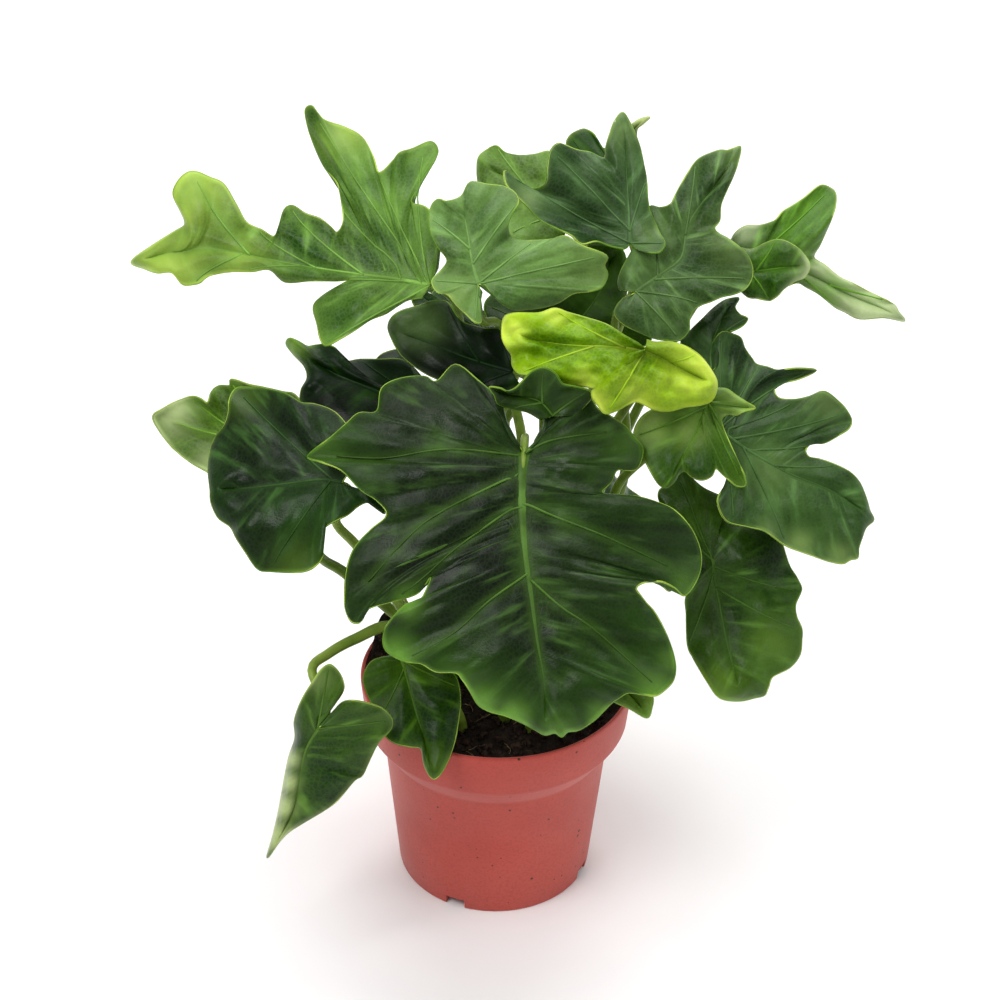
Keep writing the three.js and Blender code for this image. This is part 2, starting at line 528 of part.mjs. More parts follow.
        outline: [
          [524, 358, 0], [506, 337, 2], [499, 328, 6], [485, 328, 14], [472, 325, 22], [462, 321, 30],
          [455, 312, 38], [447, 301, 46], [434, 300, 54], [416, 306, 66], [400, 311, 78], [391, 318, 90],
          [388, 328, 100, -3], [392, 340, 96], [398, 351, 90], [404, 358, 82], [415, 367, 66],
          [430, 376, 50], [450, 384, 34], [470, 391, 18], [496, 393, 6], [522, 387, 0],
        ],
      },
    ],
  },
  {
    name: "leaf_rim",
    root: [31, 240],
    approach: [6, 2],
    blades: [
      {
        depth: -4, across: 0, up: -0.3, sag: 10, cup: 2, wave: [0.8, 4, 0],
        midrib: [[402, 660], [408, 682], [418, 720], [428, 755]],
        outline: [
          [390, 656, 0], [380, 658, 0], [371, 662, 1], [365, 671, 3], [363, 681, 6], [366, 692, 12],
          [371, 704, 22], [377, 720, 36], [386, 737, 52], [396, 744, 60], [410, 747, 68], [421, 749, 76],
          [424, 764, 88], [429, 775, 95], [434, 779, 100, -2], [440, 775, 96], [447, 763, 87],
          [452, 751, 78], [456, 738, 68], [459, 721, 52], [461, 702, 36], [460, 687, 22], [455, 675, 12],
          [443, 667, 5], [426, 661, 1], [413, 656, 0],
        ],
      },
    ],
  },
  {
    name: "leaf_hanging",
    root: [31, 206],
    via: [[392, 627, -20], [355, 639, -14], [328, 654, -4], [312, 669, 6]],
    approach: [7, 4],
    blades: [
      {
        depth: 16, across: 0, up: 0.5, sag: 0, cup: 3, wave: [1, 5, 0],
        midrib: [[318, 728], [306, 748], [300, 775], [294, 808], [282, 835]],
        outline: [
          [319, 716, 0], [328, 708, 0], [338, 699, 0], [344, 688, 0], [342, 677, 1], [336, 668, 1],
          [329, 664, 2], [321, 669, 3], [314, 679, 4], [305, 693, 5], [298, 708, 8], [294, 722, 12, -4],
          [295, 738, 20, -8], [289, 757, 32, -10], [284, 782, 48, -10], [279, 810, 68, -8],
          [273, 836, 88, -5], [267, 858, 100, -3], [279, 842, 93], [289, 832, 84], [303, 823, 74],
          [325, 810, 62], [338, 800, 54], [354, 781, 42], [362, 776, 38, -3], [367, 766, 32, -4],
          [373, 753, 26, -3], [380, 741, 20], [391, 730, 14, -3], [393, 720, 10, -4], [387, 711, 6],
          [376, 705, 3], [356, 700, 1, 3], [343, 702, 0, 3], [334, 711, 0, 3], [326, 722, 0],
        ],
      },
    ],
  },
  {
    name: "leaf_low_tip",
    root: [31, -60],
    blades: [
      {
        depth: 15, across: 0, up: -0.3, sag: 8, cup: 2, wave: [0, 0, 0],
        midrib: [[590, 662], [605, 674], [622, 688], [638, 704]],
        outline: [
          [582, 676, 0], [592, 690, 10], [610, 700, 28], [630, 709, 62], [647, 718, 100], [652, 708, 88],
          [653, 697, 74], [645, 689, 58], [630, 679, 36], [615, 666, 14], [602, 654, 0],
        ],
      },
    ],
  },
];

// Leaves on the far side of the plant: the same forms, turned about the pot's axis by so many degrees,
// scaled about it, lifted, and mirrored across the blade's own side where that is said.
const FAR_SIDE = [
  { name: "leaf_back_1", like: "leaf_mid_right", turn: 92, scale: 0.88, lift: 4, root: [31, 96] },
  { name: "leaf_back_2", like: "leaf_left", turn: -46, scale: 0.92, lift: -12, root: [31, 128] },
  { name: "leaf_back_3", like: "leaf_low_right", turn: 118, scale: 0.9, lift: -6, root: [41, 112] },
  { name: "leaf_back_4", like: "leaf_low_right", turn: 66, scale: 0.92, lift: -30, root: [41, 62] },
];

// ---- Blade surface ----

/** A Catmull-Rom value between b and c, with neighbours a and d. */
function spline(a, b, c, d, t) {
  const t2 = t * t;
  const t3 = t2 * t;
  return 0.5 * (2 * b + (c - a) * t + (2 * a - 5 * b + 4 * c - d) * t2 + (3 * b - a - 3 * c + d) * t3);
}

/** The value of a list of number lists at a share (0 to 1) of its length in entries. */
function alongList(list, share) {
  const at = Math.min(Math.max(share, 0), 1) * (list.length - 1);
  const i = Math.min(Math.floor(at), list.length - 2);
  const pick = (k) => list[Math.min(Math.max(k, 0), list.length - 1)];
  return list[i].map((_, n) => spline(pick(i - 1)[n], pick(i)[n], pick(i + 1)[n], pick(i + 2)[n], at - i));
}

const MM_PER_PIXEL = SIGHT_DISTANCE / SIGHT_FOCAL;

/** The depth of a blade at a place on the picture, before its margin's own lift. */
function planeDepth(blade, px, py) {
  const [bx, by] = blade.midrib[0];
  const across = (px - bx) * MM_PER_PIXEL;
  const up = (by - py) * MM_PER_PIXEL;
  const from_base = (across * across + up * up) / 1e4;
  return blade.depth + blade.across * across + blade.up * up - blade.sag * from_base;
}

/** Picture place and lift of the rib of an outline entry, at a share w of the way to the margin. */
function ribPoint(blade, entry, w) {
  const [px, py, share, lift, foldX, foldY, foldLift] = entry;
  const [mx, my] = alongList(blade.midrib, share / 100);
  const fx = foldX ?? mx + (px - mx) * VIA_SHARE;
  const fy = foldY ?? my + (py - my) * VIA_SHARE;
  const fl = foldLift ?? (lift ?? 0) * VIA_SHARE * VIA_SHARE;
  const toFold = (w * (w - 1)) / (VIA_SHARE * (VIA_SHARE - 1));
  const toEnd = (w * (w - VIA_SHARE)) / (1 - VIA_SHARE);
  const toStart = 1 - toFold - toEnd;
  return {
    px: mx * toStart + fx * toFold + px * toEnd,
    py: my * toStart + fy * toFold + py * toEnd,
    lift: fl * toFold + (lift ?? 0) * toEnd,
  };
}

/** The point in space of outline entry number i, a share w of the way from midrib to margin. */
function bladePoint(blade, i, w) {
  const rib = ribPoint(blade, blade.outline[i], w);
  const [height, count, phase] = blade.wave;
  const turn = (i / blade.outline.length) * count * 2 * Math.PI + phase;
  const wave = height * Math.sin(turn) * w * w;
  const cup = blade.cup * 4 * w * (1 - w);
  const depth = planeDepth(blade, rib.px, rib.py) + rib.lift + wave + cup;
  return seenAt(rib.px, rib.py, depth);
}

function midribPoint(blade, share) {
  const [px, py] = alongList(blade.midrib, share);
  return seenAt(px, py, planeDepth(blade, px, py));
}

/** Which outline entries have a point on the inner row: every other one, counted from the tip. */
function innerEntries(outline, tip) {
  const last = outline.length - 1;
  return outline.map((_, i) => i).filter((i) => i === 0 || i === last || (i - tip) % 2 === 0);
}

/** The blade's middle surface: points and triangles, and the run of points round its edge. */
function bladeSheet(blade) {
  const { outline } = blade;
  const tip = outline.findIndex((entry) => entry[2] === 100);
  const points = [];
  const midrib = [];
  for (let k = 0; k <= MIDRIB_STEPS; k++) midrib.push(points.push(midribPoint(blade, k / MIDRIB_STEPS)) - 1);
  const margin = outline.map((_, i) => points.push(bladePoint(blade, i, 1)) - 1);
  const rows = innerEntries(outline, tip).map((i) => ({
    i,
    share: outline[i][2] / 100,
    point: points.push(bladePoint(blade, i, MIDDLE_RING)) - 1,
  }));
  const triangles = [];
  for (let n = 0; n + 1 < rows.length; n++) {
    const [here, next] = [rows[n], rows[n + 1]];
    triangles.push([here.point, margin[here.i], margin[here.i + 1]]);
    triangles.push([here.point, margin[here.i + 1], next.point]);
    if (next.i - here.i === 2) triangles.push([next.point, margin[here.i + 1], margin[next.i]]);
  }
  const top = rows.findIndex((row) => row.i === tip);
  stitch(triangles, midrib, rows.slice(0, top + 1), false);
  stitch(triangles, midrib, rows.slice(top).reverse(), true);
  const edge = [midrib[0], rows[0].point, ...margin, rows[rows.length - 1].point];
  return { points, triangles, edge };
}

/** Fills the band between the midrib and the inner row on one side, from the base to the tip. */
function stitch(triangles, midrib, rows, reversed) {
  let n = 0;
  let k = 0;
  const add = (a, b, c) => triangles.push(reversed ? [a, c, b] : [a, b, c]);
  while (n + 1 < rows.length || k < MIDRIB_STEPS) {
    const nextShare = n + 1 < rows.length ? rows[n + 1].share : Infinity;
    if (nextShare <= (k + 1) / MIDRIB_STEPS || k === MIDRIB_STEPS) {
      add(midrib[k], rows[n].point, rows[n + 1].point);
      n += 1;
    } else {
      add(midrib[k], rows[n].point, midrib[k + 1]);
      k += 1;
    }
  }
}

/** Gives a sheet its thickness: the same triangles on both faces, and a strip round the edge. */
function thicken(sheet) {
  const normals = sheet.points.map(() => new THREE.Vector3());
  for (const [a, b, c] of sheet.triangles) {
    const ab = sheet.points[b].clone().sub(sheet.points[a]);
    const ac = sheet.points[c].clone().sub(sheet.points[a]);
    const normal = ab.cross(ac);
    for (const n of [a, b, c]) normals[n].add(normal);
  }
  const half = BLADE_THICKNESS / 2;
  const count = sheet.points.length;
  const upper = sheet.points.map((p, i) => p.clone().addScaledVector(normals[i].normalize(), half));
  const lower = sheet.points.map((p, i) => p.clone().addScaledVector(normals[i], -half));
  const triangles = [];
  for (const [a, b, c] of sheet.triangles) triangles.push([a, b, c], [a + count, c + count, b + count]);
  sheet.edge.forEach((a, i) => {
    const b = sheet.edge[(i + 1) % sheet.edge.length];
    triangles.push([a, a + count, b], [b, a + count, b + count]);
  });
  return { points: [...upper, ...lower], triangles, baseNormal: normals[0] };
}

// ---- Stalks ----

/** A tapering tube along a smooth line through the given points, closed at both ends. */
function taperedTube(route, startRadius, endRadius, sides, steps) {
  const curve = new THREE.CatmullRomCurve3(route, false, "centripetal");
  const frames = curve.computeFrenetFrames(steps, false);
  const points = [];
  for (let s = 0; s <= steps; s++) {
    const centre = curve.getPointAt(s / steps);
    const radius = THREE.MathUtils.lerp(startRadius, endRadius, s / steps);
    for (let k = 0; k < sides; k++) {
      const angle = (k / sides) * 2 * Math.PI;
      points.push(
        centre
          .clone()
          .addScaledVector(frames.normals[s], Math.cos(angle) * radius)
          .addScaledVector(frames.binormals[s], Math.sin(angle) * radius),
      );
    }
  }
  const triangles = [];
  for (let s = 0; s < steps; s++) {
    for (let k = 0; k < sides; k++) {
      const a = s * sides + k;
      const b = s * sides + ((k + 1) % sides);
      triangles.push([a, b, b + sides], [a, b + sides, a + sides]);
    }
  }
  for (let k = 1; k + 1 < sides; k++) {
    const last = steps * sides;
    triangles.push([0, k + 1, k], [last, last + k, last + k + 1]);
  }
  return { points, triangles };
}

const APPROACH = [13, 7]; // mm behind the blade's base, and mm short of it, where a stalk bends to meet it
const INTO_BLADE = 0.08;

/** The route of a leaf's stalk: up out of the soil, through its via points, into the blade's base. */
function stalkRoute({ root, via, base, next, end, normal, approach }) {
  const [behind, beyond] = approach ?? APPROACH;
  const along = next.clone().sub(base).normalize();
  const foot = new THREE.Vector3(root.x, root.y, soilHeight(root.x, root.y) + FOOT_RISE);
  const bend = base.clone().addScaledVector(normal, -behind).addScaledVector(along, -beyond);
  const middle = foot.clone().lerp(bend, 0.4);
  middle.z = THREE.MathUtils.lerp(foot.z, bend.z, 0.55);
  return [
    foot.clone().setZ(SOIL_TOP - STALK_ROOT_DEPTH),
    foot,
    ...(via.length ? via : [middle]),
    bend,
    base,
    end,
  ];
}

// ---- Solids ----

/** A manifold solid from points and triangles. */
function solidOf({ points, triangles }) {
  return new wasm.Manifold(
    new wasm.Mesh({
      numProp: 3,
      vertProperties: new Float32Array(points.flatMap((p) => [p.x, p.y, p.z])),
      triVerts: new Uint32Array(triangles.flat()),
    }),
  );
}

/** A manifold solid from a closed three.js geometry. */
function solidOfGeometry(geometry) {
  const bare = geometry.clone();
  bare.deleteAttribute("normal");
  bare.deleteAttribute("uv");
  const merged = mergeVertices(bare, 1e-4);
  return new wasm.Manifold(
    new wasm.Mesh({
      numProp: 3,
      vertProperties: new Float32Array(merged.attributes.position.array),
      triVerts: new Uint32Array(merged.index.array),
    }),
  );
}

/** A named mesh from a manifold solid. */
function meshOf(name, solid, material) {
  const made = solid.getMesh();
  const geometry = new THREE.BufferGeometry();
  geometry.setAttribute("position", new THREE.BufferAttribute(Float32Array.from(made.vertProperties), 3));
  geometry.setIndex(new THREE.BufferAttribute(Uint32Array.from(made.triVerts), 1));
  geometry.computeVertexNormals();
  const mesh = new THREE.Mesh(geometry, material);
  mesh.name = name;
  return mesh;
}

/** Where a stalk stands in the soil. */
function rootPlace([distance, degrees]) {
  const angle = THREE.MathUtils.degToRad(degrees);
  return new THREE.Vector3(distance * Math.cos(angle), distance * Math.sin(angle), 0);
}

/** Puts a far-side blade's point in place: scaled, turned about the pot's axis, and lifted. */
function placedBy(place) {
  return (point) => {
    const turned = point.clone().multiplyScalar(place.scale);
    turned.applyAxisAngle(new THREE.Vector3(0, 0, 1), THREE.MathUtils.degToRad(place.turn));
    turned.z += place.lift + SIGHT_TARGET.z * (1 - place.scale);
    return turned;
  };
}

/** One leaf: its blades and its stalk, joined. */
function leafSolid(leaf, place) {
  const move = place ? placedBy(place) : (point) => point;
  const sheets = leaf.blades.map((blade) => {
    const sheet = bladeSheet(blade);
    return thicken({ ...sheet, points: sheet.points.map(move) });
  });
  const blade = leaf.blades[0];
  const route = stalkRoute({
    root: rootPlace(place ? place.root : leaf.root),
    via: place ? [] : (leaf.via ?? []).map(([px, py, depth]) => seenAt(px, py, depth)),
    base: move(midribPoint(blade, 0)),
    next: move(midribPoint(blade, 1 / MIDRIB_STEPS)),
    end: move(midribPoint(blade, INTO_BLADE)),
    normal: sheets[0].baseNormal,
    approach: leaf.approach,
  });
  const stalk = taperedTube(route, STALK_ROOT_RADIUS, STALK_TIP_RADIUS, STALK_SIDES, STALK_STEPS);
  return sheets.map(solidOf).reduce((joined, next) => joined.add(next), solidOf(stalk));
}

// ---- Pot ----

/** The inside of the pot's wall as [radius, height], from the floor up to the lip. */
function insideWall() {
  const [wallTop, collar] = [WALL_TOP_RADIUS - WALL, COLLAR_RADIUS - WALL];
  return [
    [BASE_RADIUS - WALL - EDGE, FLOOR_RAISE + FLOOR],
    [BASE_RADIUS - WALL, FLOOR_RAISE + FLOOR + EDGE],
    [wallTop, FLARE_FROM + INSIDE_RAISE],
    [wallTop + FLARE_BEND, FLARE_FROM + FLARE_EASE + INSIDE_RAISE],
    [collar - FLARE_BEND, FLARE_TO - FLARE_EASE + INSIDE_RAISE],
    [collar, FLARE_TO + INSIDE_RAISE],
    [RIM_RADIUS - WALL, POT_HEIGHT - EDGE / 2],
  ];
}

/** The pot's wall, collar and raised floor as one closed profile, from its outer foot round. */
function potProfile() {
  const outside = [
    [BASE_RADIUS - EDGE, 0],
    [BASE_RADIUS, 1.5 * EDGE],
    [WALL_TOP_RADIUS, FLARE_FROM],
    [WALL_TOP_RADIUS + FLARE_BEND, FLARE_FROM + FLARE_EASE],
    [COLLAR_RADIUS - FLARE_BEND, FLARE_TO - FLARE_EASE],
    [COLLAR_RADIUS, FLARE_TO],
    [RIM_RADIUS, POT_HEIGHT - EDGE],
    [RIM_RADIUS - EDGE, POT_HEIGHT],
  ];
  const floor = [
    [PAD_RADIUS + PAD_SLOPE - 1, FLOOR_RAISE + FLOOR],
    [PAD_RADIUS - 1, FLOOR],
    [0, FLOOR],
    [0, 0],
    [PAD_RADIUS, 0],
    [PAD_RADIUS + PAD_SLOPE, FLOOR_RAISE],
    [BASE_RADIUS - 2 * WALL - EDGE, FLOOR_RAISE],
    [BASE_RADIUS - 2 * WALL, 0],
  ];
  const points = [...outside, ...insideWall().reverse(), ...floor, outside[0]];
  return points.map(([r, z]) => new THREE.Vector2(r, z));
}

/** LatheGeometry turns about Y; this stands it up along Z. */
function latheSolid(profile, sides) {
  const geometry = new THREE.LatheGeometry(profile, sides);
  geometry.rotateX(Math.PI / 2);
  return solidOfGeometry(geometry);
}

function potSolid() {
  let pot = latheSolid(potProfile(), POT_SIDES);
  for (let n = 0; n < NOTCHES; n++) {
    const notch = new THREE.BoxGeometry(NOTCH_DEPTH, NOTCH_WIDTH, 2 * NOTCH_HEIGHT);
    notch.translate(BASE_RADIUS, 0, 0);
    notch.rotateZ(THREE.MathUtils.degToRad(NOTCH_TURN) + (n / NOTCHES) * 2 * Math.PI);
    pot = pot.subtract(solidOfGeometry(notch));
  }
  for (let n = 0; n < DRAIN_HOLES; n++) {
    const hole = new THREE.CylinderGeometry(DRAIN_RADIUS, DRAIN_RADIUS, 4 * FLOOR, DRAIN_SIDES);
    hole.rotateX(Math.PI / 2);
    hole.translate(DRAIN_CIRCLE, 0, FLOOR_RAISE + FLOOR / 2);
    hole.rotateZ(((n + 0.5) / DRAIN_HOLES) * 2 * Math.PI);
    pot = pot.subtract(solidOfGeometry(hole));
  }
  return pot;
}

// ---- Soil ----

/** The soil's height at a place: nearly flat, uneven, with a mound at the back left. */
function soilHeight(x, y) {
  const fromMound = (x - SOIL_MOUND.x) ** 2 + (y - SOIL_MOUND.y) ** 2;
  const mound = SOIL_MOUND.height * Math.exp(-fromMound / (2 * SOIL_MOUND.spread ** 2));
  const lumps = SOIL_LUMPS.height * Math.sin(x * SOIL_LUMPS.x + 1) * Math.cos(y * SOIL_LUMPS.y);
  const ripples = SOIL_RIPPLES.height * Math.sin(x * SOIL_RIPPLES.x - y * SOIL_RIPPLES.y);
  return SOIL_TOP + lumps + ripples + mound;
}

/** The inside radius of the pot at a height, taken at the middle of a flat side, less the gap. */
function soilRadius(z) {
  const side = insideWall();
  const k = Math.max(side.findIndex(([, height]) => height >= z), 1);
  const [[r0, z0], [r1, z1]] = [side[k - 1], side[k]];
  return THREE.MathUtils.lerp(r0, r1, (z - z0) / (z1 - z0)) * Math.cos(Math.PI / POT_SIDES) - SOIL_GAP;
}

/** The soil fills the pot from its floor to its uneven top. */
function soilSolid(roots) {
  const flare = insideWall().slice(2, 6).map(([, height]) => height);
  const sideHeights = [FLOOR_RAISE + FLOOR + SOIL_GAP, ...flare];
  const points = [];
  const ring = (radius, heightAt) => {
    const start = points.length;
    for (let k = 0; k < SOIL_SIDES; k++) {
      const angle = (k / SOIL_SIDES) * 2 * Math.PI;
      const x = radius * Math.cos(angle);
      const y = radius * Math.sin(angle);
      points.push(new THREE.Vector3(x, y, heightAt(x, y)));
    }
    return start;
  };
  const centreBottom = points.push(new THREE.Vector3(0, 0, sideHeights[0])) - 1;
  const rings = sideHeights.map((z) => ring(soilRadius(z), () => z));
  const topRadius = soilRadius(SOIL_TOP);
  for (let n = SOIL_RINGS; n >= 1; n--) rings.push(ring((topRadius * n) / SOIL_RINGS, soilHeight));
  const centreTop = points.push(new THREE.Vector3(0, 0, soilHeight(0, 0))) - 1;
  const triangles = [];
  for (let n = 0; n + 1 < rings.length; n++) {
    for (let k = 0; k < SOIL_SIDES; k++) {
      const next = (k + 1) % SOIL_SIDES;
      const [a, b] = [rings[n] + k, rings[n] + next];
      const [c, d] = [rings[n + 1] + k, rings[n + 1] + next];
      triangles.push([a, b, d], [a, d, c]);
    }
  }
  const last = rings[rings.length - 1];
  for (let k = 0; k < SOIL_SIDES; k++) {
    const next = (k + 1) % SOIL_SIDES;
    triangles.push([centreBottom, rings[0] + next, rings[0] + k], [centreTop, last + k, last + next]);
  }
  return roots.reduce(
    (soil, { place, radius }) => soil.subtract(rootHole(place, radius)),
    solidOf({ points, triangles }),
  );
}

/** A plain hole for a stalk or the crown, a little wider than what stands in it. */
function rootHole(place, radius) {
  const wide = (radius + HOLE_GAP) / Math.cos(Math.PI / HOLE_SIDES);
  const above = 40;
  const deep = STALK_ROOT_DEPTH + HOLE_GAP;
  const hole = new THREE.CylinderGeometry(wide, wide, deep + above, HOLE_SIDES);
  hole.rotateX(Math.PI / 2);
  hole.translate(place.x, place.y, SOIL_TOP + (above - deep) / 2);
  return solidOfGeometry(hole);
}

/** The short stem that the stalks stand round, leaning out, with its sheath running to a point. */
function crownSolid() {
  const at = (rise, lean) => new THREE.Vector3(CROWN_PLACE.x - lean, CROWN_PLACE.y, SOIL_TOP + rise);
  const route = [
    at(-STALK_ROOT_DEPTH, 0),
    at(CROWN_HEIGHT / 5, 0),
    at((CROWN_HEIGHT * 3) / 5, CROWN_LEAN / 3),
    at(CROWN_HEIGHT, CROWN_LEAN),
  ];
  return solidOf(taperedTube(route, CROWN_RADIUS, CROWN_TIP_RADIUS, CROWN_SIDES, STALK_STEPS));
}

// ---- Materials ----
const material = (color, roughness) => new THREE.MeshStandardMaterial({ color, roughness, metalness: 0 });
const TERRACOTTA_PLASTIC = material(0xc2574d, 0.5);
const POTTING_SOIL = material(0x1d1512, 0.95);
const CROWN_SHEATH = material(0xa9a84a, 0.6);
const MATURE_LEAF = material(0x24512b, 0.35);
const PALE_LEAF = material(0x5f9145, 0.4);
const YOUNG_LEAF = material(0xb6cf3a, 0.4);
const LEAF_MATERIALS = {
  leaf_young: YOUNG_LEAF,
  leaf_under_young: PALE_LEAF,
  leaf_left_back: PALE_LEAF,
  leaf_top_pale: PALE_LEAF,
};

// ---- Assembly ----
function plant() {
  const group = new THREE.Group();
  const roots = [{ place: CROWN_PLACE, radius: CROWN_RADIUS }];
  const addLeaf = (name, leaf, place) => {
    roots.push({ place: rootPlace(place ? place.root : leaf.root), radius: STALK_ROOT_RADIUS });
    group.add(meshOf(name, leafSolid(leaf, place), LEAF_MATERIALS[name] ?? MATURE_LEAF));
  };
  for (const leaf of LEAVES) addLeaf(leaf.name, leaf);
  for (const place of FAR_SIDE) addLeaf(place.name, LEAVES.find((leaf) => leaf.name === place.like), place);
  group.add(meshOf("pot", potSolid(), TERRACOTTA_PLASTIC));
  group.add(meshOf("soil", soilSolid(roots), POTTING_SOIL));
  group.add(meshOf("crown", crownSolid(), CROWN_SHEATH));
  return group;
}

export default plant();
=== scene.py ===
"""A potted philodendron: finely modelled leaves, stalks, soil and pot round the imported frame.

Lengths are in millimetres in the tables and formulas, as in the part's own source, and every mesh is
written in metres. +Z is up, the viewer stands at -Y, and the origin is the middle of the pot's underside.
"""

import math
from collections import Counter
from types import SimpleNamespace

import bmesh
import bpy
import numpy as np
from mathutils import Matrix, Vector


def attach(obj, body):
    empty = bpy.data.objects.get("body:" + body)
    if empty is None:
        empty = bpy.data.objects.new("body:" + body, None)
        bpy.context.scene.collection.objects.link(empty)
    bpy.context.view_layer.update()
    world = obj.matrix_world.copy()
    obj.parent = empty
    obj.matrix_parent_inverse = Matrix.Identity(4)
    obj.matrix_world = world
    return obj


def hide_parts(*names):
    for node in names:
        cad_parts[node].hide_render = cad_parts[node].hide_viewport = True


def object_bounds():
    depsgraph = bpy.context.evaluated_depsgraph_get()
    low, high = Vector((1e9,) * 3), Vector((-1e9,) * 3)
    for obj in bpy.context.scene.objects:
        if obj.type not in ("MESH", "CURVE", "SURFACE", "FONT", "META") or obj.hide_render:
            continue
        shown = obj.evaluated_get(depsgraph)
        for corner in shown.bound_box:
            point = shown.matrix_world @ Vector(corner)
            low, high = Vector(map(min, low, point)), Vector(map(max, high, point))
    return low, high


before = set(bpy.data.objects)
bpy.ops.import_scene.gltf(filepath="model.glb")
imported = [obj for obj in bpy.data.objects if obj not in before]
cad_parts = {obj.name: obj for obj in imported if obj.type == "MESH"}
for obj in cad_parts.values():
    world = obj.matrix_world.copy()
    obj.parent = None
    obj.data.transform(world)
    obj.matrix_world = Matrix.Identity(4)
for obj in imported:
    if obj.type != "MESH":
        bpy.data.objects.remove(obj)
CAD_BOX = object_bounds()

MM = 0.001
TURN = 2 * math.pi
TINY = 1e-9
BODY = "root"

# ---- The pot, as in the part's source ----
POT_HEIGHT = 102
RIM_RADIUS = 60
BASE_RADIUS = 43.6
WALL_TOP_RADIUS = 49.9
WALL = 1.6
FLARE_FROM = 68.5
FLARE_TO = 81.5
COLLAR_RADIUS = 58.1
FLARE_EASE = 3.8
FLARE_BEND = 2.3
INSIDE_RAISE = 0.6
INSIDE_RADIUS = COLLAR_RADIUS - WALL  # of the collar
EDGE = 0.8
FLOOR_RAISE = 6
FLOOR = 2
PAD_RADIUS = 12
PAD_SLOPE = 3
NOTCHES = 4
NOTCH_WIDTH = 9
NOTCH_HEIGHT = 5
NOTCH_DEPTH = 12
NOTCH_TURN = -113
DRAIN_HOLES = 6
DRAIN_RADIUS = 3.5
DRAIN_CIRCLE = 27

# ---- Soil ----
SOIL_TOP = 93
SOIL_MOUND = {"x": -52, "y": 22, "height": 24, "spread": 14}
SOIL_LUMPS = {"height": 1.1, "x": 0.21, "y": 0.19}  # x and y: waves in radians a mm
SOIL_RIPPLES = {"height": 0.7, "x": 0.47, "y": 0.39}
SOIL_SIDES = 180
SOIL_RINGS = 60
SOIL_GRAIN = 0.22  # how far single points of the top stray
SOIL_GAP = 0.5  # between the soil and the pot's wall
SOIL_LIFT = 0.3
SOIL_SEED = 11
CLOD_HEIGHT = 0.55
CLOD_TURNS = (0.5, 0.83, 1.3, 1.9)  # radians a mm
CRUMBS = 1500
CRUMB_SIZE = 1.9
CRUMB_INSET = 3  # clear of the pot's wall
CRUMB_SEED = 5
FIBRES = 46
FIBRE_POINTS = 7
FIBRE_STEP = 1.3
FIBRE_INSET = 8
FIBRE_RADII = (0.24, 0.1)
FIBRE_SIDES = 5
FIBRE_SEED = 21

# ---- Stalks, blades and crown, as in the part's source or a little thinner ----
STALK_ROOT_DEPTH = 14
STALK_ROOT_RADIUS = 3.1
STALK_TIP_RADIUS = 1.75
STALK_DENT = 0.18  # the groove down a stalk, as a share of its radius
DENT_WIDTH = 0.7  # radians
FOOT_RISE = 3
MIDDLE_ALONG = 0.4  # where a stalk without via points bends, as shares of the way to its blade
MIDDLE_RISE = 0.55
APPROACH = (13, 7)
FOLLOWING = 1 / 6  # share of the midrib that gives the blade's direction at its base
INTO_BLADE = 0.08
BLADE_THICKNESS = 0.66
VIA_SHARE = 0.6
SAG_AT = 100  # mm from its base at which a blade has fallen by its sag
CROWN_PLACE = (-33, 8)
CROWN_RADIUS = 4.9
CROWN_TIP_RADIUS = 2
CROWN_HEIGHT = 42
CROWN_LEAN = 9
CROWN_WAVES = {"height": 0.22, "turns": 40}

# ---- Fineness of the meshes ----
POT_SIDES = 160
POT_CREASE = 38  # degrees past which an edge shows sharp
FLARE_STEPS = 12
DRAIN_SIDES = 24
CURVE_STEPS = 24
RIM_STEPS = 5  # points along the margin for each outline entry
RINGS = 26  # rows of points from midrib to margin
RING_EASE = 0.9  # below 1, rows stand closer towards the margin
MIDRIB_POINTS = 40
MARGIN_RADIUS = 0.4
MARGIN_SIDES = 6
BEAD_INSET = 0.9  # share of the last row's width that the margin's bead may lie inside it
RIBBON_SIDES = 12
RIBBON_HEIGHTS = (0.95, 0.35)  # a midrib's, at its base and at its tip
RIBBON_TAPER = 0.9
SMALL_BAND = 1.6  # half the greatest width of a midrib on a leaf's further blades
STALK_STEPS = 56
STALK_SIDES = 14
STALK_TAPER = 5  # steps at a stalk's tip where it sinks into the midrib
STALK_END = 0.35
CROWN_STEPS = 60
CROWN_SIDES = 18

# ---- Side veins ----
VEIN_RADII = (0.52, 0.28)  # where a side vein starts and where it ends
VEIN_SIDES = 6
VEIN_REACH = 0.75  # how far the side veins run from the fold to the margin
VEIN_LEAN = 0.2  # share of the midrib by which a vein leaves it nearer the base
VEIN_BEND = 0.6  # how far a vein bends towards its rib's fold
VEIN_APART = 3  # outline entries between neighbouring veins, at least
VEIN_GAP = 9  # outline entries past which one more vein runs midway
VEIN_POINTS = 30
VEIN_RAISE = 0.42
VEIN_WINDOW = 9  # outline entries on each side of a vein that may carry it
VEIN_NEIGHBOURS = 7
VEIN_STRAY = 3  # mm from the nearest point of the sheet past which that point is taken
VEIN_OUT = (10, 60)  # how far out the ends of a side vein count, in mm, for its fading colour
FAR_OFF = 99.0  # mm from a margin or a vein, said of what isn't near one

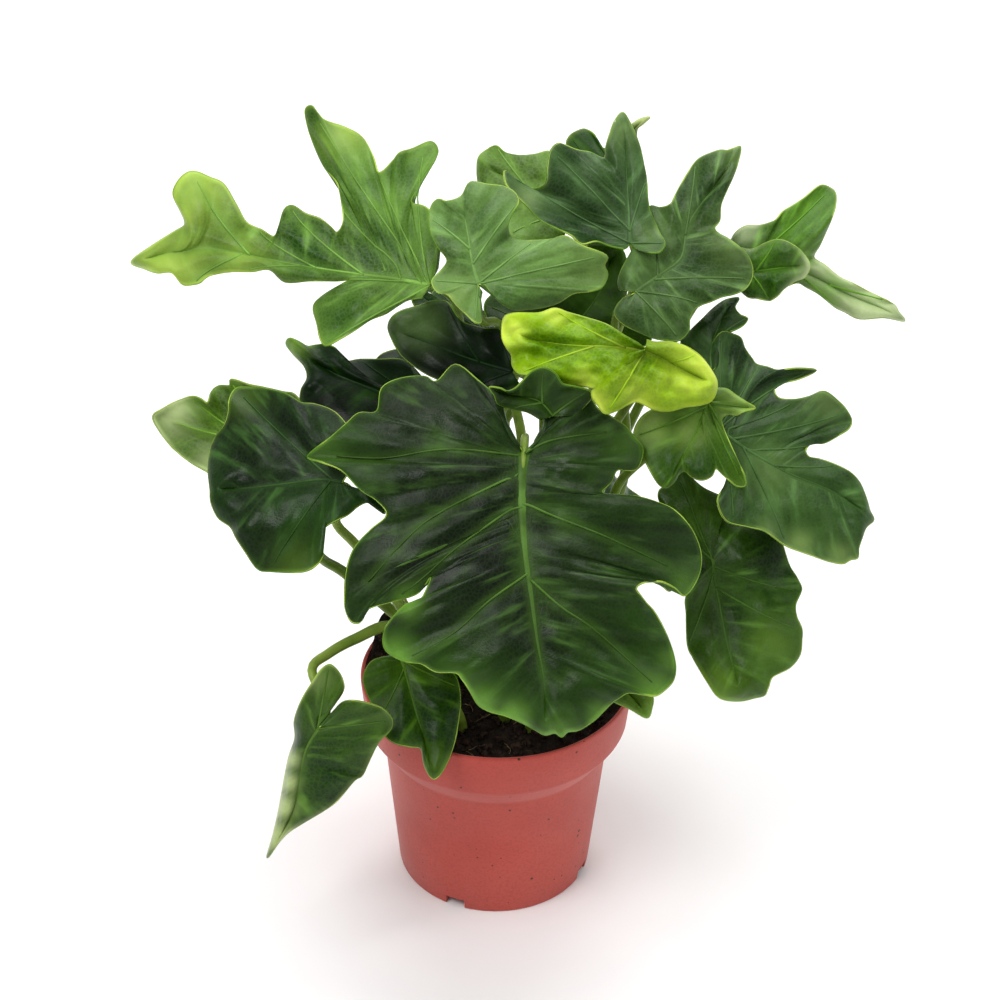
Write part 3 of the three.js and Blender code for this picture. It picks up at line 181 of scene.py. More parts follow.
# ---- Relief of the sheets: heights and reaches in mm, turns in radians ----
QUILT = 2.0  # how far the sheet stands up between its veins
QUILT_REACH = 8
QUILT_SINK = 1.2  # how far the sheet lies back as a whole
SINK_REACH = 10
RIPPLE = 0.12
RIPPLE_STEP = 9  # between the fine ripples that run out from the veins
VEIN_CLEAR = 5  # how far the ripples and pleats keep from a vein
PLEAT = 0.45
PLEAT_REACH = 25
PLEAT_TURN = 2.3  # an outline entry
PLEAT_SWAY = 0.8
SWAY_TURN = 0.12  # a mm out from the midrib
BROAD = 0.9
BROAD_REACH = 12
BROAD_TURNS = ((0.055, 0.02), (-0.015, 0.06))  # of two crossing waves, along the picture's x and y
BUMPS = 0.4
BUMP_TURNS = (0.12, 0.1)
MARGIN_CALM = 0.8  # how much of the broad waves and bumps the margin is without
RUFFLE = 0.3
SMALL_RUFFLE = 0.2
RUFFLE_TURNS = (1.4, 3.1)  # an outline entry
WRINKLE = 0.75
WRINKLED = 1.3  # the relief from which a leaf is wrinkled too
WRINKLE_REACH = 8
SEED_STEP = 10  # between the leaves' seeds
FAR_SIDE_SEED = 500

# ---- The sight lines that the outlines are drawn along, which are also the camera's ----
PICTURE = 1000
SIGHT_DISTANCE = 1000
SIGHT_FOCAL = 2384
SIGHT_ELEVATION = 33.37
SIGHT_ROLL = 1
SIGHT_TARGET = Vector((0, 0, 192.7))
SENSOR = 36


def sight_axes():
    """The directions back to the viewer, right and up, and the viewer's place."""
    elevation = math.radians(SIGHT_ELEVATION)
    back = Vector((0, -math.cos(elevation), math.sin(elevation)))
    right = Vector((1, 0, 0))
    up = back.cross(right)
    roll = Matrix.Rotation(math.radians(SIGHT_ROLL), 3, back)
    return back, roll @ right, roll @ up, SIGHT_TARGET + back * SIGHT_DISTANCE


BACK, RIGHT, UP, EYE = sight_axes()
MM_PER_PIXEL = SIGHT_DISTANCE / SIGHT_FOCAL

# A blade's midrib runs from its base towards its tip, as (x, y) on the picture. Its outline runs
# counter-clockwise round the upper face from the base to the tip and back, as
# (x, y, share, lift, fold x, fold y, fold lift). The share (0 to 100) says how far along the midrib
# the rib that feeds the point begins. Lift is mm towards the viewer. A fold, if any, is a point that
# the rib passes on its way. depth, across and up give the blade's plane: the base's depth, and how
# the depth changes per mm to the right and up. sag lets the blade fall away from its base, and cup
# raises it between midrib and margin. wave is (height, how many, phase) round the margin.
# root is where the stalk stands in the soil, as (distance from the pot's axis, degrees from +X),
# and via are points of the stalk, as (x, y, depth).
LEAVES = [
  {
    "name": "leaf_front",
    "root": [21, -80],
    "approach": [11.8, 8.4],
    "blades": [
      {
        "depth": 40, "across": 0, "up": -0.25, "sag": 9, "cup": 2.5, "wave": [2, 9, 0],
        "midrib": [[524, 453], [522, 500], [525, 550], [531, 595], [537, 640], [544, 680], [545, 712]],
        "outline": [
          [516, 440, 0], [506, 420, 0, 0, 512, 435, 0], [500, 400, 0, 0, 504, 424, 0],
          [478, 380, 0], [455, 364, 0, -5], [436, 381, 1], [424, 376, 1.5], [400, 378, 2], [381, 388, 2],
          [376, 411, 3], [358, 413, 3], [345, 424, 4],
          [330, 437, 5], [307, 456, 6, -6], [320, 462, 7], [340, 470, 8], [360, 490, 9], [375, 500, 10],
          [386, 515, 11, 2], [370, 530, 14], [354, 548, 17], [346, 570, 19], [344, 592, 20.5, -2],
          [345, 608, 21.5, -4, 378, 577, -1.5], [350, 621, 22.5, -5, 388, 580, -2],
          [357, 624, 23.2, -5, 394, 581, -2], [362, 620, 24, -4, 398, 581, -1],
          [366, 611, 25, -2, 404, 580, -0.5], [374, 607, 26, 0, 412, 578, 0],
          [388, 603, 27, 0, 426, 574, 0], [404, 599, 28, 0, 441, 570, 0],
          [418, 593, 29, 0, 455, 566, 0], [430, 578, 31, 2, 470, 562, 0], [420, 600, 34], [405, 605, 36],
          [392, 618, 38], [384, 630, 40, -4], [383, 645, 43, -6], [390, 655, 46, -5], [405, 662, 49],
          [420, 664, 52], [435, 672, 56], [455, 673, 60], [462, 680, 63], [470, 692, 67, -4],
          [478, 705, 71, -6], [490, 712, 75, -7], [505, 716, 80, -7], [520, 722, 86, -6],
          [535, 730, 93, -3], [545, 735, 100, -3], [555, 733, 95, -2], [562, 737, 92], [568, 732, 90],
          [580, 730, 86], [595, 720, 82, -3], [610, 705, 78, -3], [620, 698, 75], [630, 693, 73],
          [645, 695, 71], [657, 696, 69, -3], [667, 689, 67, -5], [674, 680, 64, -6], [676, 666, 61, -6],
          [672, 648, 58, -4], [665, 630, 55], [655, 612, 52], [647, 603, 49], [641, 595, 46],
          [637, 588, 43, 2], [644, 583, 41], [652, 582, 39], [663, 582, 37],
          [675, 588, 35, -4, 613, 570, -1.4],
          [685, 596, 33, -6, 617, 567, -2], [695, 585, 30, -6, 624, 565, -2], [701, 570, 27, -6],
          [702, 555, 24, -6],
          [698, 540, 22, -4], [690, 525, 20], [675, 510, 18], [660, 503, 16], [640, 497, 14],
          [620, 495, 12, 0, 585, 493.5, 0], [603, 493, 11, 2], [612, 482, 9], [618, 470, 7],
          [635, 470, 6, -3, 590, 466, -1],
          [642, 460, 5, -4], [643, 447, 4, -5], [635, 437, 3, -4], [625, 425, 2, -3], [610, 415, 1],
          [598, 408, 1], [590, 398, 0], [575, 402, 0], [560, 410, 0, 0, 548, 429, 0],
          [546, 410, 0, 0, 544.5, 430, 0],
          [543, 425, 0, 0, 540, 437, 0], [535, 440, 0, 0, 532, 446.5, 0],
        ],
      },
      {
        "depth": 37, "across": 0, "up": 0.1, "sag": 4, "cup": 3, "wave": [0, 0, 0],
        "midrib": [[552, 416], [540, 402], [522, 397], [504, 394]],
        "outline": [
          [575, 416, 0], [585, 406, 3], [592, 397, 8], [590, 390, 14, 4], [575, 386, 24, 7],
          [563, 383, 32, 8], [556, 373, 40, 9], [545, 367, 48, 9], [532, 371, 56, 9], [523, 380, 64, 8],
          [515, 388, 72, 7], [507, 391, 80, 7], [500, 388, 90, 8], [489, 387, 100, 9], [494, 395, 92, 6],
          [498, 404, 80, 3], [512, 409, 50], [527, 412, 20], [541, 420, 0],
        ],
      },
    ],
  },
  {
    "name": "leaf_left",
    "root": [21, 192],
    "via": [[357, 546, -2], [336, 522, 0]],
    "approach": [9, -2],
    "blades": [
      {
        "depth": 22, "across": 0.3, "up": -0.4, "sag": 12, "cup": 3, "wave": [2, 7, 1],
        "midrib": [[342, 483], [321, 480], [285, 484], [250, 488], [225, 489]],
        "outline": [
          [350, 470, 0], [358, 450, 0], [350, 430, 0], [335, 412, 2], [315, 404, 5], [300, 402, 8],
          [285, 393, 13], [265, 388, 20, -3], [250, 387, 26, -4], [236, 388, 32, -4], [229, 398, 37],
          [228, 412, 42], [224, 425, 47], [215, 437, 55], [210, 450, 66, -3], [208, 470, 84, -3],
          [210, 490, 100, -2], [211, 503, 88], [218, 518, 76], [230, 527, 66], [236, 538, 58],
          [245, 552, 49, -4], [257, 569, 41, -6], [270, 572, 36, -6], [300, 573, 28, -4], [314, 568, 22],
          [322, 558, 18], [322, 546, 15], [319, 535, 12, 3], [326, 527, 9, 5], [335, 522, 6, 4],
          [348, 515, 3], [359, 506, 1], [370, 503, 0], [385, 514, 0], [378, 495, 0],
        ],
      },
    ],
  },
  {
    "name": "leaf_left_back",
    "root": [21, 166],
    "via": [[345, 573, -22], [319, 555, -30], [300, 500, -44]],
    "approach": [8, 0],
    "blades": [
      {
        "depth": -36, "across": 0.15, "up": -0.35, "sag": 8, "cup": -4, "wave": [2, 5, 2],
        "midrib": [[292, 442], [255, 438], [215, 434], [180, 424]],
        "outline": [
          [305, 425, 0], [302, 404, 0], [294, 393, 4], [283, 391, 8], [266, 387, 14], [250, 384, 20],
          [238, 380, 26, 4], [230, 379, 30, 5], [229, 385, 34], [219, 385, 38, -3], [211, 391, 42, -4],
          [207, 402, 47, 4], [200, 398, 54], [190, 396, 62, -3], [175, 401, 76, -3], [162, 408, 88],
          [152, 416, 100], [158, 430, 94], [166, 441, 86], [175, 451, 76], [190, 463, 62, -3],
          [203, 470, 50, -3], [215, 477, 40], [235, 485, 22], [262, 480, 6], [285, 465, 0],
        ],
      },
    ],
  },
  {
    "name": "leaf_mid_left",
    "root": [21, 143],
    "blades": [
      {
        "depth": -12, "across": 0.1, "up": -0.5, "sag": 8, "cup": 3, "wave": [1.5, 5, 0],
        "midrib": [[430, 405], [395, 397], [350, 380], [320, 366]],
        "outline": [
          [428, 385, 0], [414, 368, 3], [400, 359, 7], [380, 359, 14], [360, 359, 22], [346, 361, 32],
          [340, 354, 40], [334, 347, 48, 3], [325, 344, 58, 3], [315, 345, 70], [307, 346, 78],
          [298, 341, 86], [289, 338, 93], [286, 344, 100, -4], [293, 354, 98, -3], [304, 366, 96],
          [307, 378, 90], [301, 390, 82], [300, 402, 76, -3], [306, 408, 70], [314, 422, 60],
          [325, 440, 44], [345, 452, 30], [370, 457, 18], [400, 452, 8], [425, 432, 0],
        ],
      },
    ],
  },
  {
    "name": "leaf_upper_left",
    "root": [11, 165],
    "via": [[468, 480, -18], [462, 380, -20]],
    "blades": [
      {
        "depth": 15, "across": 0.15, "up": -0.3, "sag": 6, "cup": 2.5, "wave": [2, 9, 0.5],
        "midrib": [[430, 286], [400, 280], [340, 272], [280, 262], [220, 250], [175, 252], [150, 258]],
        "outline": [
          [438, 268, 0], [440, 240, 0], [434, 216, 0], [425, 206, 1], [411, 201, 2, 2],
          [420, 185, 2.5, 0, 412, 221, 0],
          [429, 170, 3, 0, 410, 216, 0], [436, 158, 3.5, -4, 408, 211, 0], [438, 148, 4, -6, 405, 208, 0],
          [430, 141, 5, -7, 401.5, 206, 0], [412, 148, 6, -4, 396.5, 205, 0],
          [400, 152, 7.5, 0, 393, 205, 0],
          [393, 160, 9, 0, 391, 206, 0], [379, 172, 12, 3], [373, 156, 14], [362, 137, 15, -3],
          [345, 127, 16], [325, 120, 17, 3, 358, 184, 1], [317, 112, 18, 4, 353, 180, 1.5],
          [311, 105, 19, 4, 349, 179, 1.5], [305, 110, 20, 3, 346, 183, 1], [308, 128, 21, 0, 348, 191, 0],
          [316, 150, 22, 0, 350.5, 204, 0], [325, 168, 23, 0, 353, 213, 0], [337, 183, 24, 3, 356, 221, 1],
          [342, 205, 27],
          [343, 222, 30], [337, 232, 34, -3], [330, 226, 37], [320, 218, 40, 3], [306, 213, 44, 4],
          [293, 205, 47, 5], [284, 209, 50, 5], [279, 226, 53, 2], [274, 236, 56, -3], [262, 229, 60],
          [247, 222, 65], [237, 205, 69, -3], [224, 184, 72, -4], [210, 177, 75.5, 0, 210, 213, 0],
          [195, 171, 78, 5, 204, 214, 3], [185, 173, 79.5, 7, 199, 217, 3],
          [176, 183, 81, 7, 195.5, 221, 3],
          [173, 195, 82.5, 4, 192, 227, 2], [181, 212, 84, 0, 189, 235, 1], [185, 224, 86], [173, 232, 91],
          [150, 247, 98], [131, 262, 100, -6], [145, 269, 97, -4], [157, 273, 94],
          [172, 273, 90], [183, 285, 84, -4], [198, 284, 80], [210, 276, 75], [230, 272, 70],
          [252, 272, 64], [270, 270, 58], [285, 282, 52, -3], [310, 281, 44], [337, 281, 36],
          [350, 280, 31], [340, 285, 27], [322, 296, 24, -4], [313, 307, 21, -5], [317, 325, 18, -3],
          [320, 340, 16, -2], [326, 346, 15], [340, 339, 13], [355, 330, 11], [370, 320, 9],
          [385, 314, 6], [397, 306, 4], [408, 300, 2], [422, 298, 0],
        ],
      },
    ],
  },
  {
    "name": "leaf_upper_mid",
    "root": [11, -75],
    "via": [[523, 452, 3], [517, 412, 3], [505, 375, 4], [499, 325, 3]],
    "blades": [
      {
        "depth": 30, "across": -0.05, "up": -0.3, "sag": 6, "cup": 2.5, "wave": [1.5, 7, 1],
        "midrib": [[478, 284], [472, 262], [468, 236], [464, 214]],
        "outline": [
          [484, 285, 0], [495, 297, 0], [512, 309, 0, -3], [530, 309, 1, -4], [545, 307, 1, -4],
          [560, 302, 2, -3], [575, 293, 2], [592, 291, 3], [603, 287, 5, -3], [608, 275, 6, -4],
          [605, 265, 8], [607, 255, 10, 3], [582, 245, 12, 3], [566, 236, 14], [552, 239, 15.5],
          [537, 240, 17],
          [522, 240, 21], [511, 236, 27, -4], [508, 226, 34], [512, 214, 42], [519, 202, 50],
          [515, 192, 60], [503, 186, 74, -3], [487, 184, 84], [470, 182, 92, -3], [461, 196, 100],
          [447, 201, 94], [438, 199, 87, -3], [431, 206, 80, -3], [429, 218, 70], [430, 232, 58],
          [437, 246, 44], [447, 260, 30, -3], [440, 271, 18], [431, 281, 12, 2], [436, 292, 8, 3],
          [447, 295, 6], [456, 305, 5], [466, 315, 3], [475, 323, 2, 3], [481, 322, 1], [480, 305, 0],
          [482, 292, 0],
        ],
      },
    ],
  },
  {
    "name": "leaf_top",
    "root": [21, 60],
    "approach": [11.8, 7],
    "blades": [
      {
        "depth": 8, "across": 0, "up": -0.1, "sag": 5, "cup": 2, "wave": [1, 6, 0],
        "midrib": [[630, 243], [629, 215], [627, 180], [625, 140]],
        "outline": [
          [640, 250, 0, 5, 636, 249, 2], [652, 253, 0, 6, 643, 250, 3], [661, 252, 1, 6],
          [666, 243, 2, 5], [661, 234, 4, 3], [655, 222, 8], [650, 210, 14], [648, 196, 24],
          [647, 180, 36, -2], [644, 165, 52], [641, 150, 70], [637, 138, 84], [631, 124, 94],
          [623, 112, 100], [615, 120, 94], [610, 132, 86], [606, 146, 76], [604, 158, 64, -5],
          [590, 152, 55], [575, 149, 48], [565, 145, 43], [557, 143, 39, 4], [550, 150, 36, 5],
          [547, 165, 32, 6], [545, 183, 28, 5], [532, 188, 25, 0, 568, 203, 0],
          [515, 180, 22, 0, 556, 200, 0],
          [504, 170, 20, 3, 545, 200.5, 0], [505, 183, 17, 6, 552, 206, 0], [513, 193, 14, 7, 560, 213, 0],
          [526, 206, 11, 7, 568, 220, 0], [540, 220, 9, 7, 577, 228, 0], [555, 228, 7, 7, 586, 235, 0],
          [570, 235, 5, 7, 595, 240, 0], [581, 244, 3, 7, 601, 244, 0], [596, 241, 1, 7, 609, 244.5, 0],
          [610, 246, 0, 6, 618, 247, 0], [624, 249, 0, 6, 627, 247.5, 1],
        ],
      },
    ],
  },
  {
    "name": "leaf_top_pale",
    "root": [21, 92],
    "via": [[505, 470, -22], [508, 400, -26], [545, 310, -34]],
    "blades": [
      {
        "depth": -25, "across": 0.1, "up": -0.3, "sag": 6, "cup": 2, "wave": [1, 4, 0],
        "midrib": [[570, 222], [543, 200], [517, 184], [495, 171]],
        "outline": [
          [584, 205, 0], [570, 180, 0], [562, 162, 5], [550, 151, 14], [535, 154, 28], [519, 155, 44],
          [505, 152, 58, 2], [496, 145, 68, 3], [486, 150, 82], [479, 156, 94], [477, 166, 100, -3],
          [478, 182, 92, -3], [484, 200, 78], [494, 218, 56], [510, 236, 34], [540, 248, 12],
          [562, 242, 0],
        ],
      },
    ],
  },
  {
    "name": "leaf_top_back",
    "root": [31, 72],
    "blades": [
      {
        "depth": -36, "across": 0, "up": -0.2, "sag": 6, "cup": 2, "wave": [0, 0, 0],
        "midrib": [[612, 198], [616, 172], [622, 148], [635, 127]],
        "outline": [
          [632, 200, 0], [640, 178, 8], [637, 150, 40], [637, 130, 76], [643, 124, 92],
          [650, 117, 100, -3], [640, 119, 92], [630, 126, 76], [618, 138, 54], [606, 148, 42],
          [599, 144, 38], [594, 134, 35], [585, 129, 32, -4], [576, 131, 28], [569, 136, 25],
          [566, 145, 20], [572, 165, 8], [582, 185, 0], [598, 200, 0],
        ],
      },
    ],
  },
  {
    "name": "leaf_mid_back",
    "root": [31, 50],
    "blades": [
      {
        "depth": -22, "across": 0, "up": -0.3, "sag": 6, "cup": 2.5, "wave": [1.5, 5, 0],
        "midrib": [[560, 340], [582, 318], [602, 288], [611, 260]],
        "outline": [
          [575, 355, 0], [600, 352, 2], [625, 348, 6], [645, 346, 14], [652, 336, 24], [640, 325, 34],
          [628, 316, 46], [626, 300, 60], [628, 276, 78], [623, 250, 100, 4], [606, 243, 92, 6],
          [588, 244, 80, 7], [570, 262, 62, 3], [556, 280, 48], [535, 284, 36], [512, 286, 26],
          [495, 292, 18], [484, 304, 10], [488, 320, 4], [510, 335, 1], [540, 350, 0],
        ],
      },
    ],
  },
  {
    "name": "leaf_upper_right",
    "root": [11, 42],
    "via": [[624, 479, -6]],
    "blades": [
      {
        "depth": 12, "across": 0.05, "up": -0.35, "sag": 6, "cup": 2.5, "wave": [1.5, 8, 0],
        "midrib": [[636, 292], [660, 275], [681, 258], [687, 228], [702, 203], [722, 178]],
        "outline": [
          [622, 300, 0], [614, 313, 0], [622, 324, 0], [640, 333, 1], [655, 339, 3], [668, 341, 6, -3],
          [680, 341, 10, -4], [689, 332, 14, -3], [690, 320, 17], [693, 312, 19], [701, 306, 21],
          [711, 302, 23], [723, 297, 26], [736, 294, 29, -3], [746, 289, 32, -4], [752, 280, 35, -5],
          [753, 268, 38, -5], [748, 255, 42, -3], [740, 247, 45], [729, 239, 48], [720, 234, 51],
          [715, 228, 54, 3], [720, 220, 58], [721, 205, 64], [727, 190, 72], [733, 177, 80],
          [738, 163, 90], [741, 147, 100, -5], [734, 148, 96, -4], [727, 150, 92], [719, 150, 88],
          [703, 156, 80], [695, 162, 75], [688, 172, 70], [682, 182, 64], [675, 195, 57],
          [670, 204, 50, 3], [660, 207, 44], [650, 206, 38], [645, 218, 30], [640, 232, 22],
          [632, 250, 14], [622, 268, 6], [618, 282, 2], [620, 290, 0],
        ],
      },
    ],
  },
  {
    "name": "leaf_far_right",
    "root": [21, 30],
    "blades": [
      {
        "depth": -14, "across": -0.12, "up": -0.25, "sag": 6, "cup": 2.5, "wave": [1.5, 5, 0],
        "midrib": [[735, 272], [775, 267], [810, 275], [845, 293], [885, 310]],
        "outline": [
          [738, 286, 0], [755, 294, 4], [775, 292, 10], [797, 283, 20, -3], [808, 288, 32],
          [820, 295, 44], [835, 307, 58, -3], [845, 312, 67, -3], [860, 319, 78], [885, 318, 92],
          [905, 321, 100, -5], [899, 312, 97], [895, 305, 91], [885, 299, 84, 3], [870, 292, 76],
          [855, 284, 67, 3], [840, 277, 57], [825, 265, 47], [814, 257, 39, -3], [820, 245, 35],
          [826, 232, 32], [832, 218, 29], [836, 205, 26, -3], [836, 193, 24, -5], [830, 187, 22, -6],
          [820, 185, 20, -4], [805, 197, 17], [793, 205, 15], [783, 211, 13], [775, 220, 11, 3],
          [760, 225, 8], [745, 226, 5], [733, 236, 2], [728, 255, 0],
        ],
      },
      {
        "depth": -13.4, "across": 0.2, "up": -0.15, "sag": 4, "cup": 3, "wave": [0, 0, 0],
        "midrib": [[735, 272], [755, 271], [780, 268], [798, 266]],
        "outline": [
          [738, 288, 0], [748, 297, 14], [758, 299, 30], [769, 301, 44, -4], [777, 297, 58],
          [784, 289, 70], [795, 281, 84], [805, 277, 95], [810, 265, 100, 3], [803, 253, 92, 4],
          [794, 245, 80, 5], [785, 240, 66, 5], [775, 239, 54, 5], [765, 243, 42, 3], [752, 249, 28],
          [740, 247, 14], [730, 241, 4], [726, 256, 0],
        ],
      },
    ],
  },
  {
    "name": "leaf_mid_right",
    "root": [31, 10],
    "via": [[618, 545, -12], [676, 494, -23], [706, 452, -4]],
    "approach": [6, 0],
    "blades": [
      {
        "depth": 15, "across": -0.2, "up": -0.4, "sag": 8, "cup": 2.5, "wave": [2, 8, 0],
        "midrib": [[718, 430], [750, 452], [790, 474], [830, 490], [855, 505]],
        "outline": [
          [722, 452, 0], [728, 480, 0, 0, 726.5, 457, 0], [718, 497, 3, 0, 733, 467, 0],
          [718, 507, 7, 0, 734.5, 477, 0], [723, 518, 11, 0, 737, 487, 0], [731, 524, 15, 0, 740, 492, 0],
          [750, 528, 23], [765, 532, 30], [785, 546, 40, -5], [800, 552, 48, -6], [815, 557, 56, -6],
          [830, 562, 64, -5], [843, 564, 70, -3], [851, 560, 75], [858, 558, 79], [859, 548, 83],
          [862, 538, 88], [866, 528, 93], [874, 520, 100, -4], [870, 510, 95], [866, 497, 88],
          [860, 483, 80, -3], [850, 472, 70], [835, 464, 60], [820, 459, 53], [810, 457, 47],
          [806, 451, 44, 3], [812, 443, 42], [825, 443, 41, 0, 800, 444, 0],
          [840, 435, 39, 0, 806, 440, 0], [850, 428, 37, -3, 812, 436, -1],
          [852, 420, 35, -4, 814, 431.5, -1.4], [847, 410, 32], [840, 402, 30], [825, 391, 27, 3],
          [810, 396, 24],
          [795, 399, 22], [780, 398, 20], [775, 391, 18], [778, 384, 16, 0, 765, 402, 0],
          [800, 379, 14, -3, 769, 387, -1], [817, 370, 13, -6, 765, 383, -2],
          [797, 368, 12, 0, 761, 381, 0],
          [778, 370, 11, 0, 756, 386, 0], [768, 367, 10, 0, 751, 391, 0], [757, 364, 9],
          [752, 358, 8], [745, 348, 7], [741, 338, 6], [734, 334, 5], [722, 331, 3, 3], [712, 345, 2],
          [705, 370, 1], [703, 400, 0], [707, 420, 0],
        ],
      },
      {
        "depth": 5, "across": 0, "up": -0.4, "sag": 3, "cup": 2, "wave": [0, 0, 0],
        "midrib": [[712, 372], [711, 350], [719, 325], [729, 308]],
        "outline": [
          [720, 362, 0], [722, 345, 18], [726, 333, 34], [735, 330, 48], [744, 325, 58, -3],
          [748, 318, 66, -4], [740, 314, 74], [735, 307, 84], [739, 298, 100, -3], [728, 299, 92],
          [720, 303, 80], [710, 311, 64], [701, 320, 50, 3], [690, 331, 36], [681, 343, 16],
          [697, 362, 0],
        ],
      },
    ],
  },
  {
    "name": "leaf_low_right",
    "root": [31, -24],
    "via": [[598, 600, 2], [650, 562, 0]],
    "approach": [8, 0],
    "blades": [
      {
        "depth": 0, "across": -0.1, "up": -0.3, "sag": 10, "cup": 3, "wave": [2, 7, 0],
        "midrib": [[712, 560], [716, 590], [724, 630], [731, 660], [737, 682]],
        "outline": [
          [727, 498, 0, 1], [712, 492, 0], [701, 486, 0], [691, 477, 0, 3], [684, 470, 0, 4],
          [677, 472, 0, 4],
          [668, 484, 0, 2], [659, 490, 0], [659, 500, 1],
          [668, 512, 1], [682, 532, 2], [694, 555, 3], [698, 575, 5], [690, 588, 8, 3], [685, 600, 12, 3],
          [686, 615, 18], [687, 645, 33], [693, 658, 43], [700, 670, 53, -3], [708, 683, 65, -4],
          [716, 695, 78, -5], [725, 700, 88, -5], [741, 701, 100, -6], [755, 698, 92, -5],
          [765, 695, 85, -4], [769, 687, 79], [773, 677, 73], [790, 668, 62, -4], [800, 655, 54, -5],
          [802, 640, 48, -5], [802, 628, 43, -4], [797, 616, 38], [796, 605, 34], [802, 590, 27, -3],
          [798, 579, 22], [791, 568, 18], [787, 558, 14], [783, 545, 10], [776, 528, 6], [762, 515, 3],
          [745, 509, 1, -4], [721, 501, 0, -4],
        ],
      },
    ],
  },
  {
    "name": "leaf_young",
    "root": [11, -15],
    "via": [[575, 500, 4], [618, 420, 14]],
    "approach": [11.12, 5.11],
    "blades": [
      {
        "depth": 42, "across": 0.08, "up": -0.1, "sag": 5, "cup": 4, "wave": [2, 5, 0],
        "midrib": [[646, 350], [612, 347], [570, 345], [530, 340]],
        "outline": [
          [638, 343, 0], [622, 334, 4], [604, 323, 10], [585, 317, 20], [568, 312, 32], [554, 308, 42],
          [538, 313, 56], [515, 313, 76], [505, 316, 90, -3], [502, 325, 100, -3], [502, 338, 93],
          [506, 347, 85, 2], [511, 355, 79], [512, 366, 74], [519, 374, 68], [533, 376, 58],
          [548, 380, 48], [564, 384, 38], [580, 386, 28], [593, 388, 20], [608, 388, 12],
          [622, 383, 5], [636, 369, 0],
        ],
      },
      {
        "depth": 44.67, "across": 0, "up": 0, "sag": 6, "cup": 7, "wave": [1.5, 5, 0],
        "midrib": [[645, 350], [662, 358], [682, 369], [702, 379]],
        "outline": [
          [632, 353, 0], [620, 360, 1, -4], [610, 371, 3, -6], [602, 380, 5, -6], [593, 388, 8, -4],
          [592, 397, 11], [598, 406, 14], [605, 414, 18], [616, 411, 22], [627, 405, 26], [638, 402, 30],
          [655, 410, 40], [670, 411, 50], [685, 407, 60], [700, 405, 72], [711, 401, 82],
          [716, 392, 92], [717, 382, 100], [712, 371, 92], [705, 361, 80], [697, 353, 66], [685, 346, 50],
          [670, 342, 34], [655, 342, 18], [647, 340, 0, -2],
        ],
      },
    ],
  },
  {
    "name": "leaf_under_young",
    "root": [21, -4],
    "via": [[603, 530, 6], [620, 483, 10], [644, 459, 14]],
    "approach": [5, -0.7],
    "blades": [
      {
        "depth": 26, "across": 0, "up": -0.2, "sag": 5, "cup": 2, "wave": [1.2, 5, 0],
        "midrib": [[708, 402], [700, 424], [686, 450], [674, 474]],
        "outline": [
          [704, 395, 0], [690, 399, 2], [672, 404, 6], [655, 408, 12], [640, 418, 20], [633, 436, 30],
          [642, 455, 45], [648, 468, 60], [656, 481, 80], [662, 487, 92], [668, 487, 100],
          [674, 482, 92], [679, 474, 80], [685, 471, 72], [691, 476, 64], [698, 480, 56],
          [705, 480, 48], [712, 476, 40], [716, 469, 32], [723, 475, 22, 0, 708, 438, 0],
          [731, 482, 20, 0, 711, 441, 0], [738, 487, 18, -2, 715, 443, 0], [746, 486, 16, -2, 719, 441, 0],
          [745, 476, 14, 0, 722.5, 441, 0], [739, 464, 12, 0, 724, 437, 0], [732, 448, 9], [725, 432, 6],
          [722, 420, 4],
          [728, 414, 3, 0, 718.5, 411, 0], [737, 415, 2, 0, 721, 409.5, 0],
          [746, 411, 1, 0, 723.5, 407.5, 0],
          [756, 408, 1, -3, 726, 405, 0], [747, 402, 0, 0, 726.5, 401.5, 0], [736, 395, 0], [727, 389, 0],
          [716, 388, 0],
        ],
      },
    ],
  },
  {
    "name": "leaf_inner",
    "root": [11, 105],
    "via": [[502, 500, -10], [502, 430, -10]],
    "blades": [
      {
        "depth": 15.5, "across": 0, "up": -0.1, "sag": 5, "cup": 2, "wave": [1.5, 5, 0],
        "midrib": [[512, 372], [470, 359], [436, 346], [408, 336]],
        "outline": [
          [524, 358, 0], [506, 337, 2], [499, 328, 6], [485, 328, 14], [472, 325, 22], [462, 321, 30],
          [455, 312, 38], [447, 301, 46], [434, 300, 54], [416, 306, 66], [400, 311, 78], [391, 318, 90],
          [388, 328, 100, -3], [392, 340, 96], [398, 351, 90], [404, 358, 82], [415, 367, 66],
          [430, 376, 50], [450, 384, 34], [470, 391, 18], [496, 393, 6], [522, 387, 0],
        ],
      },
    ],
  },
  {
    "name": "leaf_rim",
    "root": [31, 240],
    "approach": [6, 2],
    "blades": [
      {
        "depth": -4, "across": 0, "up": -0.3, "sag": 10, "cup": 2, "wave": [0.8, 4, 0],
        "midrib": [[402, 660], [408, 682], [418, 720], [428, 755]],
        "outline": [
          [390, 656, 0], [380, 658, 0], [371, 662, 1], [365, 671, 3], [363, 681, 6], [366, 692, 12],
          [371, 704, 22], [377, 720, 36], [386, 737, 52], [396, 744, 60], [410, 747, 68], [421, 749, 76],
          [424, 764, 88], [429, 775, 95], [434, 779, 100, -2], [440, 775, 96], [447, 763, 87],
          [452, 751, 78], [456, 738, 68], [459, 721, 52], [461, 702, 36], [460, 687, 22], [455, 675, 12],
          [443, 667, 5], [426, 661, 1], [413, 656, 0],
        ],
      },
    ],
  },
  {
    "name": "leaf_hanging",
    "root": [31, 206],
    "via": [[392, 627, -20], [355, 639, -14], [328, 654, -4], [312, 669, 6]],
    "approach": [7, 4],
    "blades": [
      {
        "depth": 16, "across": 0, "up": 0.5, "sag": 0, "cup": 3, "wave": [1, 5, 0],
        "midrib": [[318, 728], [306, 748], [300, 775], [294, 808], [282, 835]],
        "outline": [
